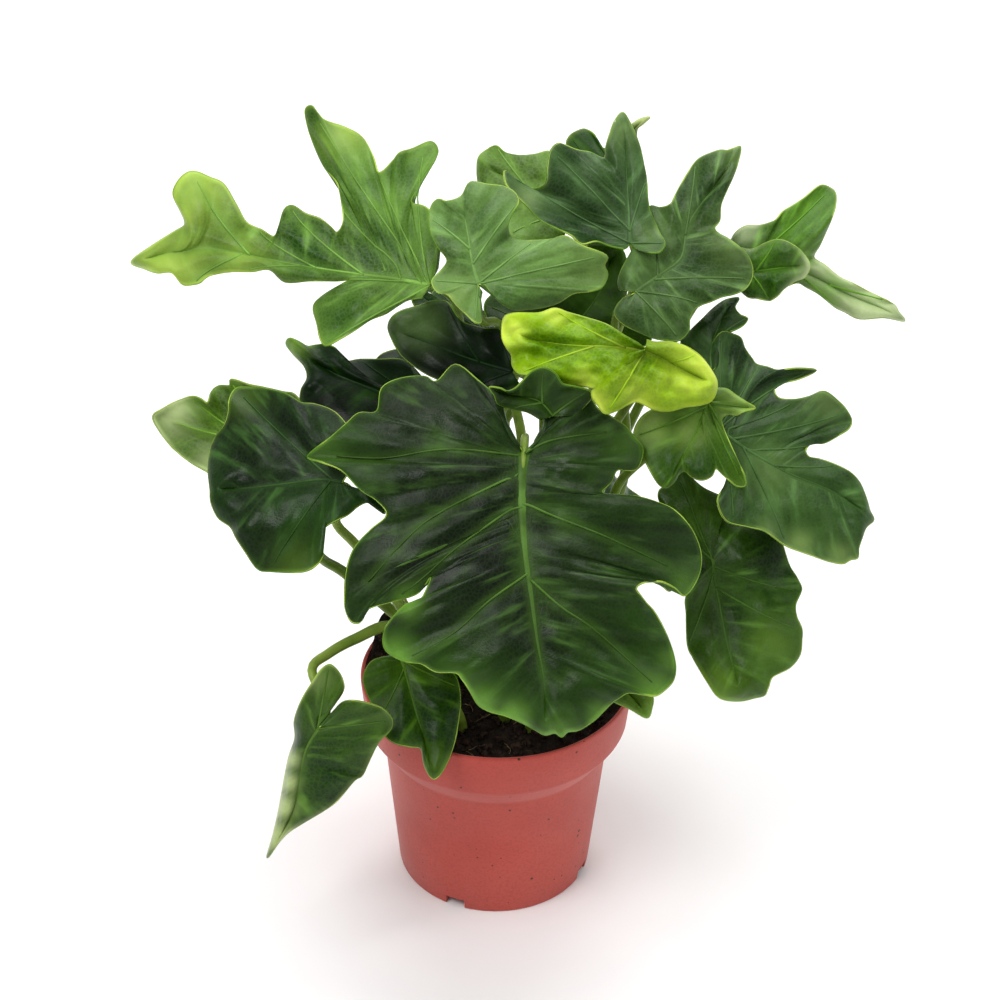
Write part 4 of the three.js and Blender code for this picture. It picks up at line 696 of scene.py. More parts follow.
          [319, 716, 0], [328, 708, 0], [338, 699, 0], [344, 688, 0], [342, 677, 1], [336, 668, 1],
          [329, 664, 2], [321, 669, 3], [314, 679, 4], [305, 693, 5], [298, 708, 8], [294, 722, 12, -4],
          [295, 738, 20, -8], [289, 757, 32, -10], [284, 782, 48, -10], [279, 810, 68, -8],
          [273, 836, 88, -5], [267, 858, 100, -3], [279, 842, 93], [289, 832, 84], [303, 823, 74],
          [325, 810, 62], [338, 800, 54], [354, 781, 42], [362, 776, 38, -3], [367, 766, 32, -4],
          [373, 753, 26, -3], [380, 741, 20], [391, 730, 14, -3], [393, 720, 10, -4], [387, 711, 6],
          [376, 705, 3], [356, 700, 1, 3], [343, 702, 0, 3], [334, 711, 0, 3], [326, 722, 0],
        ],
      },
    ],
  },
  {
    "name": "leaf_low_tip",
    "root": [31, -60],
    "blades": [
      {
        "depth": 15, "across": 0, "up": -0.3, "sag": 8, "cup": 2, "wave": [0, 0, 0],
        "midrib": [[590, 662], [605, 674], [622, 688], [638, 704]],
        "outline": [
          [582, 676, 0], [592, 690, 10], [610, 700, 28], [630, 709, 62], [647, 718, 100], [652, 708, 88],
          [653, 697, 74], [645, 689, 58], [630, 679, 36], [615, 666, 14], [602, 654, 0],
        ],
      },
    ],
  },
]

# Leaves on the far side of the plant: the same forms, turned about the pot's axis and lifted.
FAR_SIDE = [
  {"name": "leaf_back_1", "like": "leaf_mid_right", "turn": 92, "scale": 0.88, "lift": 4, "root": [31, 96]},
  {"name": "leaf_back_2", "like": "leaf_left", "turn": -46, "scale": 0.92, "lift": -12, "root": [31, 128]},
  {"name": "leaf_back_3", "like": "leaf_low_right", "turn": 118, "scale": 0.9, "lift": -6, "root": [41, 112]},
  {"name": "leaf_back_4", "like": "leaf_low_right", "turn": 66, "scale": 0.92, "lift": -30, "root": [41, 62]},
]

# ---- The leaves' looks ----
# upper, far, under, vein and deep are sRGB colours: of the upper face, of its pale parts, of the underside,
# of the veins, and of the upper face's dark parts. spots and shades are (x, y, reach, strength) on the
# picture, where the upper face turns to far or to deep. The pale spots are partly the leaf's own paler
# green and partly painted highlight. The dark shades are partly its own darker green and partly painted
# shade, in hollows, in folds and under other leaves; deep also colours the painted shade streaked along
# the ribs. band is half the midrib's width at its base, in mm, and relief scales the sheet's relief.
# What a leaf's row leaves out is DARK's.
DARK = {
    "upper": (46, 70, 30), "far": (112, 150, 52), "under": (74, 104, 48), "band": 1.5, "relief": 1.3,
    "spots": [],
    "shades": [],
}
LOOKS = {
    "leaf_front": {
        "upper": (50, 72, 34), "far": (110, 156, 64), "vein": (88, 124, 54), "band": 3.0, "relief": 1.0,
        "spots": [
            (478, 706, 20, 1.0), (512, 718, 16, 1.0), (394, 658, 20, 0.9), (420, 676, 10, 0.7),
            (560, 734, 18, 0.7), (600, 716, 14, 0.6), (655, 694, 20, 0.6), (672, 660, 14, 0.4),
            (684, 585, 18, 0.35), (626, 445, 20, 0.3), (452, 692, 22, 0.8), (325, 450, 16, 0.3),
            (408, 602, 14, 1.0),
        ],
        "shades": [
            (410, 420, 45, 0.6), (480, 400, 40, 0.6), (600, 560, 45, 0.5), (390, 570, 26, 0.5),
            (570, 440, 34, 0.6), (480, 560, 34, 0.4), (430, 610, 26, 0.4),
        ],
    },
    "leaf_left": {
        "upper": (48, 74, 35),
        "spots": [(300, 575, 30, 0.3), (240, 395, 22, 0.3)],
        "shades": [(240, 450, 40, 0.6), (270, 540, 30, 0.6), (330, 470, 30, 0.6)],
    },
    "leaf_left_back": {
        "upper": (110, 150, 55), "far": (196, 212, 150), "under": (52, 84, 40),
        "spots": [(165, 410, 26, 0.9), (215, 465, 20, 0.5)],
        "shades": [(185, 440, 22, 0.5), (232, 395, 16, 0.5)],
    },
    "leaf_mid_left": {
        "upper": (32, 57, 16),
        "spots": [(296, 346, 14, 1.0)],
        "shades": [(360, 390, 40, 0.5)],
    },
    "leaf_upper_left": {
        "upper": (104, 142, 62), "far": (168, 198, 84), "deep": (44, 74, 30),
        "spots": [
            (195, 190, 40, 0.8), (182, 215, 18, 1.0), (165, 262, 48, 0.75), (345, 135, 20, 0.5),
            (240, 265, 30, 0.5),
        ],
        "shades": [
            (302, 250, 34, 0.85), (385, 240, 34, 0.8), (365, 195, 22, 0.7), (408, 178, 20, 0.7),
            (345, 320, 34, 0.75), (420, 240, 18, 0.5), (316, 118, 12, 0.6), (335, 175, 16, 0.5),
        ],
    },
    "leaf_upper_mid": {
        "upper": (104, 138, 74), "far": (146, 178, 96), "deep": (46, 78, 30),
        "spots": [(455, 290, 22, 0.4), (590, 265, 30, 0.3)],
        "shades": [(448, 232, 18, 0.6), (490, 232, 22, 0.7), (505, 300, 26, 0.5), (465, 265, 16, 0.5)],
    },
    "leaf_top": {
        "upper": (76, 104, 62), "far": (132, 160, 92), "deep": (30, 52, 18),
        "spots": [(622, 130, 18, 0.4), (525, 195, 16, 0.5), (648, 238, 14, 0.5)],
        "shades": [
            (590, 220, 34, 0.85), (560, 190, 22, 0.8), (572, 155, 14, 0.6), (620, 185, 14, 0.5),
            (555, 235, 24, 0.9), (600, 240, 26, 0.8),
        ],
    },
    "leaf_top_pale": {
        "upper": (121, 160, 75), "far": (150, 180, 100),
        "shades": [(492, 170, 10, 0.7)],
    },
    "leaf_top_back": {
        "upper": (48, 76, 18), "far": (180, 196, 120),
        "spots": [(645, 118, 12, 1.0)],
    },
    "leaf_mid_back": {
        "upper": (58, 85, 30),
    },
    "leaf_upper_right": {
        "upper": (84, 112, 62), "far": (136, 168, 96), "deep": (34, 58, 20),
        "spots": [(738, 156, 14, 0.4), (735, 240, 26, 0.4), (655, 240, 16, 0.4)],
        "shades": [
            (700, 190, 26, 0.7), (690, 270, 28, 0.8), (660, 290, 20, 0.6), (645, 320, 18, 0.5),
            (720, 300, 24, 0.5),
        ],
    },
    "leaf_far_right": {
        "upper": (90, 134, 44), "far": (186, 202, 150), "deep": (48, 78, 18),
        "spots": [(870, 300, 45, 1.0), (820, 275, 22, 0.7), (745, 232, 14, 0.5)],
        "shades": [(765, 278, 24, 0.9), (790, 262, 18, 0.7), (800, 225, 18, 0.3)],
    },
    "leaf_mid_right": {
        "upper": (66, 94, 50), "far": (122, 150, 84), "deep": (30, 46, 22),
        "spots": [
            (840, 556, 14, 0.9), (800, 545, 14, 0.8), (765, 532, 12, 0.5), (820, 400, 26, 0.4),
            (770, 470, 26, 0.3),
        ],
        "shades": [(735, 350, 30, 0.8), (720, 320, 24, 0.8), (760, 400, 24, 0.6), (735, 500, 30, 0.5)],
    },
    "leaf_low_right": {
        "upper": (68, 98, 42), "deep": (22, 38, 10),
        "spots": [(720, 690, 36, 0.6), (770, 640, 26, 0.4), (700, 500, 20, 0.2)],
        "shades": [(690, 560, 30, 0.7), (715, 610, 26, 0.5), (760, 560, 20, 0.6)],
    },
    "leaf_young": {
        "upper": (157, 201, 16), "far": (214, 232, 92), "deep": (72, 116, 6), "under": (96, 128, 28),
        "vein": (166, 196, 64), "relief": 2.8,
        "spots": [
            (512, 330, 14, 0.9), (690, 372, 26, 0.8), (596, 402, 12, 0.7), (556, 314, 12, 0.6),
            (640, 400, 20, 0.5), (585, 380, 12, 0.5),
        ],
        "shades": [
            (560, 350, 32, 1.0), (600, 338, 26, 1.0), (535, 342, 18, 0.8), (648, 362, 16, 0.8),
            (625, 395, 12, 0.7), (635, 345, 14, 0.9),
        ],
    },
    "leaf_under_young": {
        "upper": (74, 108, 36), "far": (150, 180, 90), "deep": (40, 66, 14),
        "spots": [(650, 425, 20, 0.7), (740, 404, 22, 0.6), (690, 430, 18, 0.5)],
        "shades": [(700, 455, 22, 0.6), (665, 460, 20, 0.5), (730, 450, 16, 0.5)],
    },
    "leaf_inner": {
        "upper": (24, 44, 12), "far": (96, 124, 70),
        "spots": [(418, 318, 26, 0.8)],
    },
    "leaf_rim": {
        "upper": (66, 96, 28),
        "spots": [(440, 765, 16, 0.3)],
    },
    "leaf_hanging": {
        "upper": (74, 104, 42), "far": (180, 198, 130), "deep": (36, 58, 16),
        "spots": [
            (293, 760, 8, 1.0), (289, 782, 9, 1.0), (284, 806, 11, 1.0), (277, 838, 15, 1.0),
            (318, 680, 14, 0.3),
        ],
        "shades": [(345, 730, 28, 0.6), (325, 770, 24, 0.5), (318, 700, 16, 0.5)],
    },
    "leaf_low_tip": {
        "upper": (104, 138, 58),
        "spots": [(640, 705, 25, 0.4)],
    },
}
# The side veins of the big front leaf, as places on the picture.
VEINS = {
    "leaf_front": [
        [(524, 456), (448, 449), (385, 458), (336, 456)],
        [(518, 474), (494, 485), (437, 514), (405, 540), (368, 582)],
        [(520, 503), (460, 545), (425, 576), (402, 594)],
        [(531, 572), (490, 600), (455, 632), (412, 656)],
        [(525, 453), (552, 440), (606, 432)],
        [(525, 504), (561, 519), (607, 537), (668, 566)],
        [(531, 580), (561, 607), (595, 630), (652, 682)],
    ],
}


# ---- Small helpers ----
def linear(rgb):
    """An sRGB colour of 0 to 255 as a linear RGBA of 0 to 1."""
    values = [c / 255 for c in rgb]
    return [c / 12.92 if c <= 0.04045 else ((c + 0.055) / 1.055) ** 2.4 for c in values] + [1]


def scaled(rgb, factor):
    """An sRGB colour with its light scaled, as sRGB again."""
    values = [min(c * factor, 1) for c in linear(rgb)[:3]]
    return [255 * (12.92 * c if c <= 0.0031308 else 1.055 * c ** (1 / 2.4) - 0.055) for c in values]


def seen_at(px, py, depth):
    """The points in space that are seen at (px, py), at those depths, as rows of an array."""
    reach = SIGHT_DISTANCE - depth
    x = (px - PICTURE / 2) / SIGHT_FOCAL * reach
    y = (PICTURE / 2 - py) / SIGHT_FOCAL * reach
    back, right, up = (np.multiply.outer(*pair) for pair in ((reach, BACK), (x, RIGHT), (y, UP)))
    return np.array(EYE) - back + right + up


def spline_rows(rows, at):
    """Catmull-Rom values of an array's rows at fractional row numbers."""
    last = len(rows) - 1
    i = np.clip(np.floor(at).astype(int), 0, last - 1)
    t = (at - i)[:, None]
    a, b, c, d = (rows[np.clip(i + k, 0, last)] for k in (-1, 0, 1, 2))
    return 0.5 * (2 * b + (c - a) * t + (2 * a - 5 * b + 4 * c - d) * t**2 + (3 * b - a - 3 * c + d) * t**3)


def spaced_evenly(points, count):
    """Points at even steps along a line of points."""
    length = np.concatenate([[0], np.cumsum(np.linalg.norm(np.diff(points, axis=0), axis=1))])
    even = np.linspace(0, length[-1], count)
    return np.stack([np.interp(even, length, points[:, k]) for k in range(3)], axis=1)


def circle(sides):
    """Angles at even steps round a circle."""
    return np.linspace(0, TURN, sides, endpoint=False)


def unit(rows):
    """Vectors brought to length 1."""
    return rows / np.maximum(np.linalg.norm(rows, axis=-1, keepdims=True), TINY)


def bands(rows):
    """The faces between each closed ring of point numbers and the next."""
    faces = []
    for a, b in zip(rows, rows[1:]):
        for k in range(len(a)):
            n = (k + 1) % len(a)
            face = list(dict.fromkeys((a[k], a[n], b[n], b[k])))
            if len(face) > 2:
                faces.append(face)
    return faces


def tube_faces(steps, sides):
    """The faces of a closed tube whose points run ring by ring."""
    rows = np.arange(steps * sides).reshape(steps, sides).tolist()
    return [*bands(rows), rows[0][::-1], rows[-1]]


def joined(parts):
    """Several parts, each as points and faces, as one."""
    points, faces, offset = [], [], 0
    for made, made_faces in parts:
        points.append(made)
        faces.extend([i + offset for i in face] for face in made_faces)
        offset += len(made)
    return np.vstack(points), faces


def new_object(name, data):
    made = bpy.data.objects.new(name, data)
    bpy.context.scene.collection.objects.link(made)
    return made


def smooth_faces(mesh):
    mesh.polygons.foreach_set("use_smooth", [True] * len(mesh.polygons))


def new_mesh(name, points, faces, smooth=True):
    """A mesh object from points in mm and faces."""
    mesh = bpy.data.meshes.new(name)
    mesh.from_pydata([tuple(p) for p in np.asarray(points) * MM], [], [tuple(f) for f in faces])
    mesh.update()
    if smooth:
        smooth_faces(mesh)
    return new_object(name, mesh)


def shaped(name, make):
    """A mesh object from a function that fills a bmesh, in metres."""
    shape = bmesh.new()
    make(shape)
    mesh = bpy.data.meshes.new(name)
    shape.to_mesh(mesh)
    shape.free()
    return new_object(name, mesh)


def add_attribute(piece, name, values):
    attribute = piece.data.attributes.new(name, "FLOAT", "POINT")
    attribute.data.foreach_set("value", np.asarray(values, np.float32))


# ---- Blade surface ----
def plane_depth(blade, px, py):
    """The depth of a blade at places on the picture, before its margin's own lift."""
    base_x, base_y = blade["midrib"][0]
    across = (px - base_x) * MM_PER_PIXEL
    up = (base_y - py) * MM_PER_PIXEL
    fallen = blade["sag"] * (across**2 + up**2) / SAG_AT**2
    return blade["depth"] + blade["across"] * across + blade["up"] * up - fallen


def midrib_places(blade, share):
    """Places on the picture at shares (0 to 1) of the midrib's length."""
    midrib = np.array(blade["midrib"], float)
    return spline_rows(midrib, np.clip(share, 0, 1) * (len(midrib) - 1))


def seen_point(blade, share):
    """The point in space at a share of a blade's midrib."""
    place = midrib_places(blade, np.array([share]))[0]
    return seen_at(place[0], place[1], plane_depth(blade, place[0], place[1]))


def rib_table(blade):
    """Each outline entry in full: end x, y and lift, fold x, y and lift, and share."""
    rows = []
    for entry in blade["outline"]:
        px, py, share = entry[:3]
        lift = entry[3] if len(entry) > 3 else 0
        mx, my = midrib_places(blade, np.array([share / 100]))[0]
        fold = entry[4:7] if len(entry) > 4 else None
        if fold is None:
            fold = (mx + (px - mx) * VIA_SHARE, my + (py - my) * VIA_SHARE, lift * VIA_SHARE**2)
        rows.append((px, py, lift, *fold, share / 100))
    return np.array(rows, float)


def blade_points(blade, at, w):
    """Points in space, their places on the picture, and each rib's share of the midrib.

    There is a point for every rib number in at and every share w of the way to the margin.
    """
    table = rib_table(blade)
    rows = spline_rows(table, at)
    share = np.interp(at, np.arange(len(table)), table[:, 6])
    start = midrib_places(blade, share)
    to_fold = (w * (w - 1)) / (VIA_SHARE * (VIA_SHARE - 1))
    to_end = (w * (w - VIA_SHARE)) / (1 - VIA_SHARE)
    to_start = 1 - to_fold - to_end

    def along_rib(first, fold, end):
        return np.outer(first, to_start) + np.outer(fold, to_fold) + np.outer(end, to_end)

    px = along_rib(start[:, 0], rows[:, 3], rows[:, 0])
    py = along_rib(start[:, 1], rows[:, 4], rows[:, 1])
    lift = np.outer(rows[:, 5], to_fold) + np.outer(rows[:, 2], to_end)
    height, count, phase = blade["wave"]
    wave = np.outer(height * np.sin(at / len(table) * count * TURN + phase), w**2)
    cup = blade["cup"] * 4 * w * (1 - w)
    depth = plane_depth(blade, px, py) + lift + wave + cup
    return seen_at(px, py, depth), np.stack([px, py], axis=2), share


# ---- Side veins ----
def vein_entries(blade, table):
    """The outline entries that side veins run to, and the tip's entry.

    They are the ends of lobes, and one entry midway in long gaps.
    """
    start = midrib_places(blade, table[:, 6])
    length = np.hypot(*(table[:, :2] - start).T)
    tip = int(np.argmax(table[:, 6]))
    ends = [tip]
    for i in range(2, len(table) - 2):
        if abs(i - tip) > 2 and length[i] == max(length[i - 2 : i + 3]):
            ends.append(i)
    spaced = []
    for i in sorted(ends):
        if spaced and i - spaced[-1] >= VEIN_GAP and tip not in (i, spaced[-1]):
            spaced.append((i + spaced[-1]) // 2)
        if not spaced or i - spaced[-1] >= VEIN_APART:
            spaced.append(i)
    return [i for i in spaced if i != tip], tip


def drawn_vein(table, places):
    """A vein through its own places on the picture, with the outline entry nearest to its end."""
    rows = np.array(places, float)
    entry = int(np.argmin(np.hypot(*(table[:, :2] - rows[-1]).T)))
    return entry, spline_rows(rows, np.linspace(0, len(rows) - 1, VEIN_POINTS))


def grown_vein(blade, table, entry):
    """A vein to an outline entry. It leaves the midrib nearer the base than the entry's own rib does."""
    t = np.linspace(0, 1, VEIN_POINTS)[:, None]
    start = midrib_places(blade, np.array([table[entry, 6] - VEIN_LEAN]))[0]
    fold = table[entry, 3:5]
    end = fold + (table[entry, :2] - fold) * VEIN_REACH
    bend = fold * VEIN_BEND + (start + end) / 2 * (1 - VEIN_BEND)
    return entry, start * (1 - t) ** 2 + bend * 2 * t * (1 - t) + end * t**2


def side_veins(blade, drawn):
    """The side veins, as (outline entry, places on the picture), and the tip's entry."""
    table = rib_table(blade)
    entries, tip = vein_entries(blade, table)
    if drawn:
        return [drawn_vein(table, places) for places in drawn], tip
    return [grown_vein(blade, table, entry) for entry in entries], tip


def line_distance(places, line):
    """How far places on the picture are from a line on it, in mm."""
    nearest = np.full(places.shape[:2], math.inf)
    for a, b in zip(line, line[1:]):
        along = b - a
        share = np.clip(((places - a) @ along) / max(along @ along, TINY), 0, 1)
        nearest = np.minimum(nearest, np.linalg.norm(places - a - share[:, :, None] * along, axis=2))
    return nearest * MM_PER_PIXEL


def side_distance(places, lines):
    """How far places on the picture are from the nearest side vein, in mm."""
    side = np.full(places.shape[:2], FAR_OFF)
    for line in lines:
        side = np.minimum(side, line_distance(places, line))
    return side


def on_sheet(grid, places, at, entry, line):
    """A vein's line in space, just over the sheet.

    Each point is on the plane through the sheet's nearest points, or is the nearest one itself
    where that plane strays.
    """
    near = np.abs(at - entry) < VEIN_WINDOW
    flat_places = places[near].reshape(-1, 2)
    flat_points = grid[near].reshape(-1, 3)
    points = []
    for place in line:
        away = flat_places - place
        chosen = np.argsort((away**2).sum(1))[:VEIN_NEIGHBOURS]
        terms = np.column_stack([np.ones(len(chosen)), away[chosen]])
        found = np.linalg.lstsq(terms, flat_points[chosen], rcond=0.01)[0][0]
        nearest = flat_points[chosen[0]]
        points.append(found if np.linalg.norm(found - nearest) < VEIN_STRAY else nearest)
    points = np.array(points)
    for _ in range(2):
        points[1:-1] = (points[:-2] + 2 * points[1:-1] + points[2:]) / 4
    return spaced_evenly(points, len(points)) + np.array(BACK) * VEIN_RAISE


# ---- Sheets ----
def rising(out, reach):
    """From 0 at the midrib to 1 at a reach in mm and past it."""
    return np.minimum(out / reach, 1)


def standing(away, reach):
    """From 0 at a vein to nearly 1 at twice a reach in mm."""
    return 1 - np.exp(-((away / reach) ** 2))


def crossing(x, y, phases):
    """Two broad waves across the picture, multiplied."""
    waves = [np.sin(x * per_x + y * per_y + phase) for (per_x, per_y), phase in zip(BROAD_TURNS, phases)]
    return waves[0] * waves[1]


def wrinkles(x, y, phase):
    """Small crossing waves that sway, so that no two bumps are alike."""
    return np.sin(x * 0.24 + 2 * np.sin(y * 0.06)) * np.sin(y * 0.27 + 1.5 * np.sin(x * 0.05 + phase))


def relief(depth, seed, at, w, places, side, rib_length):
    """How far a sheet stands up at each point: quilted between its veins, pleated, and ruffled.

    depth scales all but the margin's ruffles. side says how far each point is from a side vein.
    """
    x, y = places[:, :, 0], places[:, :, 1]
    out = np.outer(rib_length, w)
    vein = np.minimum(side, out)
    inward = 1 - w**6
    clear = standing(vein, VEIN_CLEAR) * inward
    waves = np.random.default_rng(seed).uniform(0, TURN, 8)
    quilt = (QUILT * standing(vein, QUILT_REACH) - QUILT_SINK * rising(out, SINK_REACH)) * inward
    ripple = RIPPLE * np.sin((out + side) * TURN / RIPPLE_STEP) * clear
    turns = at[:, None] * PLEAT_TURN + PLEAT_SWAY * np.sin(out * SWAY_TURN + waves[6])
    pleat = PLEAT * np.sin(turns + waves[7]) * rising(out, PLEAT_REACH) * clear
    bumps = np.sin((x + y) * BUMP_TURNS[0] + waves[2]) * np.sin((x - y) * BUMP_TURNS[1] + waves[3])
    broad = BROAD * crossing(x, y, waves[:2]) + BUMPS * bumps
    broad = broad * rising(out, BROAD_REACH) * (1 - MARGIN_CALM * w**4)
    ruffle = RUFFLE * np.sin(at * RUFFLE_TURNS[0] + waves[4]) - RUFFLE
    ruffle += SMALL_RUFFLE * np.sin(at * RUFFLE_TURNS[1] + waves[5])
    wrinkle = max(depth - WRINKLED, 0) * WRINKLE * wrinkles(x, y, waves[0]) * inward
    wrinkle = wrinkle * rising(out, WRINKLE_REACH)
    return depth * (quilt + ripple + pleat + broad) + wrinkle + np.outer(ruffle, w**8)


def stitch(faces, ring, shares, columns, reversed_side):
    """Fills the band between the midrib and the first ring on one side, from the base to the tip."""
    n = 0
    k = 0
    while n + 1 < len(columns) or k < MIDRIB_POINTS:
        next_share = shares[columns[n + 1]] if n + 1 < len(columns) else math.inf
        if next_share <= (k + 1) / MIDRIB_POINTS or k == MIDRIB_POINTS:
            face = (k, ring[columns[n]], ring[columns[n + 1]])
            n += 1
        else:
            face = (k, ring[columns[n]], k + 1)
            k += 1
        faces.append(face[::-1] if reversed_side else face)


def sheet_faces(rings, shares, top):
    """The faces between a sheet's rings, and from the first ring to the midrib on both sides.

    Both sides end with the same face at the midrib's end, back to back, so neither is kept.
    """
    faces = []
    for inner, outer in zip(rings, rings[1:]):
        for i in range(len(inner) - 1):
            faces.append((inner[i], outer[i], outer[i + 1], inner[i + 1]))
    stitch(faces, rings[0], shares, range(top + 1), False)
    stitch(faces, rings[0], shares, range(len(shares) - 1, top - 1, -1), True)
    times_made = Counter(frozenset(face) for face in faces)
    return [face for face in faces if times_made[frozenset(face)] == 1]


def sheet_edge(rings):
    """The loop of point numbers round a sheet, from the midrib's base and back to it."""
    out = [ring[0] for ring in rings[:-1]]
    back = [ring[-1] for ring in rings[-2::-1]]
    return [0, *out, *rings[-1], *back]


def bead_line(grid):
    """The line of the margin's bead, just inside the sheet's last row."""
    inward = grid[:, -2] - grid[:, -1]
    lengths = np.linalg.norm(inward, axis=1, keepdims=True)
    return grid[:, -1] + inward * np.minimum(MARGIN_RADIUS / np.maximum(lengths, TINY), BEAD_INSET)


def over_sheet(on_midrib, on_grid):
    """A point value in the order of a sheet's points: the midrib's, and then ring by ring."""
    return np.concatenate([on_midrib, on_grid[:, 1:].T.ravel()])


def blade_sheet(blade, seed, depth, drawn):
    """A blade's middle surface with its relief, and the lines of its midrib, veins and bead."""
    entries = len(blade["outline"])
    at = np.linspace(0, entries - 1, (entries - 1) * RIM_STEPS + 1)
    w = np.linspace(0, 1, RINGS + 1) ** RING_EASE
    grid, places, shares = blade_points(blade, at, w)
    veins, tip = side_veins(blade, drawn)
    side = side_distance(places, [line for _, line in veins])
    rib_length = np.linalg.norm(grid[:, -1] - grid[:, 0], axis=1)
    raised = relief(depth, seed, at, w, places, side, rib_length)
    grid = grid + raised[:, :, None] * np.array(BACK)

    mid_x, mid_y = midrib_places(blade, np.linspace(0, 1, MIDRIB_POINTS + 1)).T
    midrib = seen_at(mid_x, mid_y, plane_depth(blade, mid_x, mid_y))
    none = np.zeros(len(midrib))
    out = np.outer(rib_length, w)
    rings = (len(midrib) + np.arange(RINGS * len(at))).reshape(RINGS, len(at)).tolist()
    return SimpleNamespace(
        points=np.vstack([midrib, grid[:, 1:].swapaxes(0, 1).reshape(-1, 3)]),
        faces=sheet_faces(rings, shares, int(np.argmin(np.abs(at - tip)))),
        edge=sheet_edge(rings),
        values={
            "vein": over_sheet(none, np.minimum(side, out)),
            "rim": over_sheet(none + FAR_OFF, np.outer(rib_length, 1 - w)),
            "x": over_sheet(mid_x, places[:, :, 0]),
            "y": over_sheet(mid_y, places[:, :, 1]),
            "rib": over_sheet(none, np.outer(at, np.ones(len(w)))),
            "out": over_sheet(none, out),
        },
        midrib=midrib,
        veins=[on_sheet(grid, places, at, entry, line) for entry, line in veins],
        bead=bead_line(grid),
    )


def face_normals(points, faces):
    """Point normals of a sheet, weighted by area."""
    normals = np.zeros_like(points)
    for size in (3, 4):
        chosen = np.array([f for f in faces if len(f) == size])
        if not len(chosen):
            continue
        a, b, c = (points[chosen[:, k]] for k in (0, 1, 2))
        last = points[chosen[:, -1]]
        cross = np.cross(b - a, c - a) if size == 3 else np.cross(c - a, last - b)
        for k in range(size):
            np.add.at(normals, chosen[:, k], cross)
    return unit(normals)


UPPER, UNDER, MARGIN, STALK, VEIN = range(5)  # the material numbers of a leaf's faces


def thicken(points, faces, edge):
    """The sheet with its thickness, as points, faces and face materials, and the sheet's normals."""
    normals = face_normals(points, faces)
    half = BLADE_THICKNESS / 2
    count = len(points)
    both = np.vstack([points + normals * half, points - normals * half])
    under = [tuple(i + count for i in face[::-1]) for face in faces]
    walls = [(a, a + count, b + count, b) for a, b in zip(edge, edge[1:] + edge[:1])]
    kinds = [UPPER] * len(faces) + [UNDER] * len(under) + [MARGIN] * len(walls)
    return both, [*faces, *under, *walls], kinds, normals


# ---- Stalks and veins ----
def centripetal(points, count):
    """Points evenly spaced along a centripetal Catmull-Rom curve through the given points."""
    given = [np.array(p, float) for p in points]
    given = [2 * given[0] - given[1], *given, 2 * given[-1] - given[-2]]
    dense = []
    for i in range(1, len(given) - 2):
        p = given[i - 1 : i + 3]
        t = [0.0]
        for a, b in zip(p, p[1:]):
            t.append(t[-1] + max(np.linalg.norm(b - a), 1e-4) ** 0.5)
        for u in np.linspace(t[1], t[2], CURVE_STEPS, endpoint=False):
            a1, a2, a3 = (
                (t[k + 1] - u) / (t[k + 1] - t[k]) * p[k] + (u - t[k]) / (t[k + 1] - t[k]) * p[k + 1]
                for k in (0, 1, 2)
            )
            b1 = (t[2] - u) / (t[2] - t[0]) * a1 + (u - t[0]) / (t[2] - t[0]) * a2
            b2 = (t[3] - u) / (t[3] - t[1]) * a2 + (u - t[1]) / (t[3] - t[1]) * a3
            dense.append((t[2] - u) / (t[2] - t[1]) * b1 + (u - t[1]) / (t[2] - t[1]) * b2)
    dense.append(given[-2])
    return spaced_evenly(np.array(dense), count)


def tube(line, radii, sides, dent=0.0):
    """A closed tube round a line of points, with a radius at each. dent grooves one side."""
    tangents = unit(np.gradient(line, axis=0))
    normal = unit(np.cross(tangents[0], [0.3, 0.9, 0.1]))
    angles = circle(sides)
    reach = 1 - dent * np.exp(-(((angles - math.pi) / DENT_WIDTH) ** 2))
    rings = []
    for centre, tangent, radius in zip(line, tangents, radii):
        normal = unit(normal - tangent * np.dot(normal, tangent))
        side = np.cross(tangent, normal)
        ring = np.outer(np.cos(angles) * reach, normal) + np.outer(np.sin(angles) * reach, side)
        rings.append(centre + radius * ring)
    return np.vstack(rings), tube_faces(len(line), sides)


def ribbon(line, widths, heights):
    """A closed low tube along a line on a blade: an ellipse at each point, wide across and low above."""
    tangents = np.gradient(line, axis=0)
    across = unit(np.cross(tangents, np.array(BACK)))
    above = unit(np.cross(across, tangents))
    angles = circle(RIBBON_SIDES)
    rings = [
        centre + np.outer(np.cos(angles) * width, side) + np.outer(np.sin(angles) * height, up)
        for centre, side, up, width, height in zip(line, across, above, widths, heights)
    ]
    return np.vstack(rings), tube_faces(len(line), RIBBON_SIDES)


def soil_height(x, y):
    """The soil's height at a place: nearly flat, uneven, with a mound at the back left."""
    away = (x - SOIL_MOUND["x"]) ** 2 + (y - SOIL_MOUND["y"]) ** 2
    mound = SOIL_MOUND["height"] * np.exp(-away / (2 * SOIL_MOUND["spread"] ** 2))
    lumps = SOIL_LUMPS["height"] * np.sin(x * SOIL_LUMPS["x"] + 1) * np.cos(y * SOIL_LUMPS["y"])
    ripples = SOIL_RIPPLES["height"] * np.sin(x * SOIL_RIPPLES["x"] - y * SOIL_RIPPLES["y"])
    return SOIL_TOP + (lumps + ripples) + mound


def stalk_route(root, via, base, following, end, normal, approach):
    """The route of a leaf's stalk: up out of the soil, through its via points, into the blade's base."""
    behind, beyond = approach
    along = (following - base) / np.linalg.norm(following - base)
    distance, angle = root[0], math.radians(root[1])
    x, y = distance * math.cos(angle), distance * math.sin(angle)
    foot = np.array([x, y, soil_height(x, y) + FOOT_RISE])
    bend = base - normal * behind - along * beyond
    middle = foot + (bend - foot) * MIDDLE_ALONG
    middle[2] = foot[2] + (bend[2] - foot[2]) * MIDDLE_RISE
    bottom = np.array([x, y, SOIL_TOP - STALK_ROOT_DEPTH])
    return [bottom, foot, *(via or [middle]), bend, base, end]


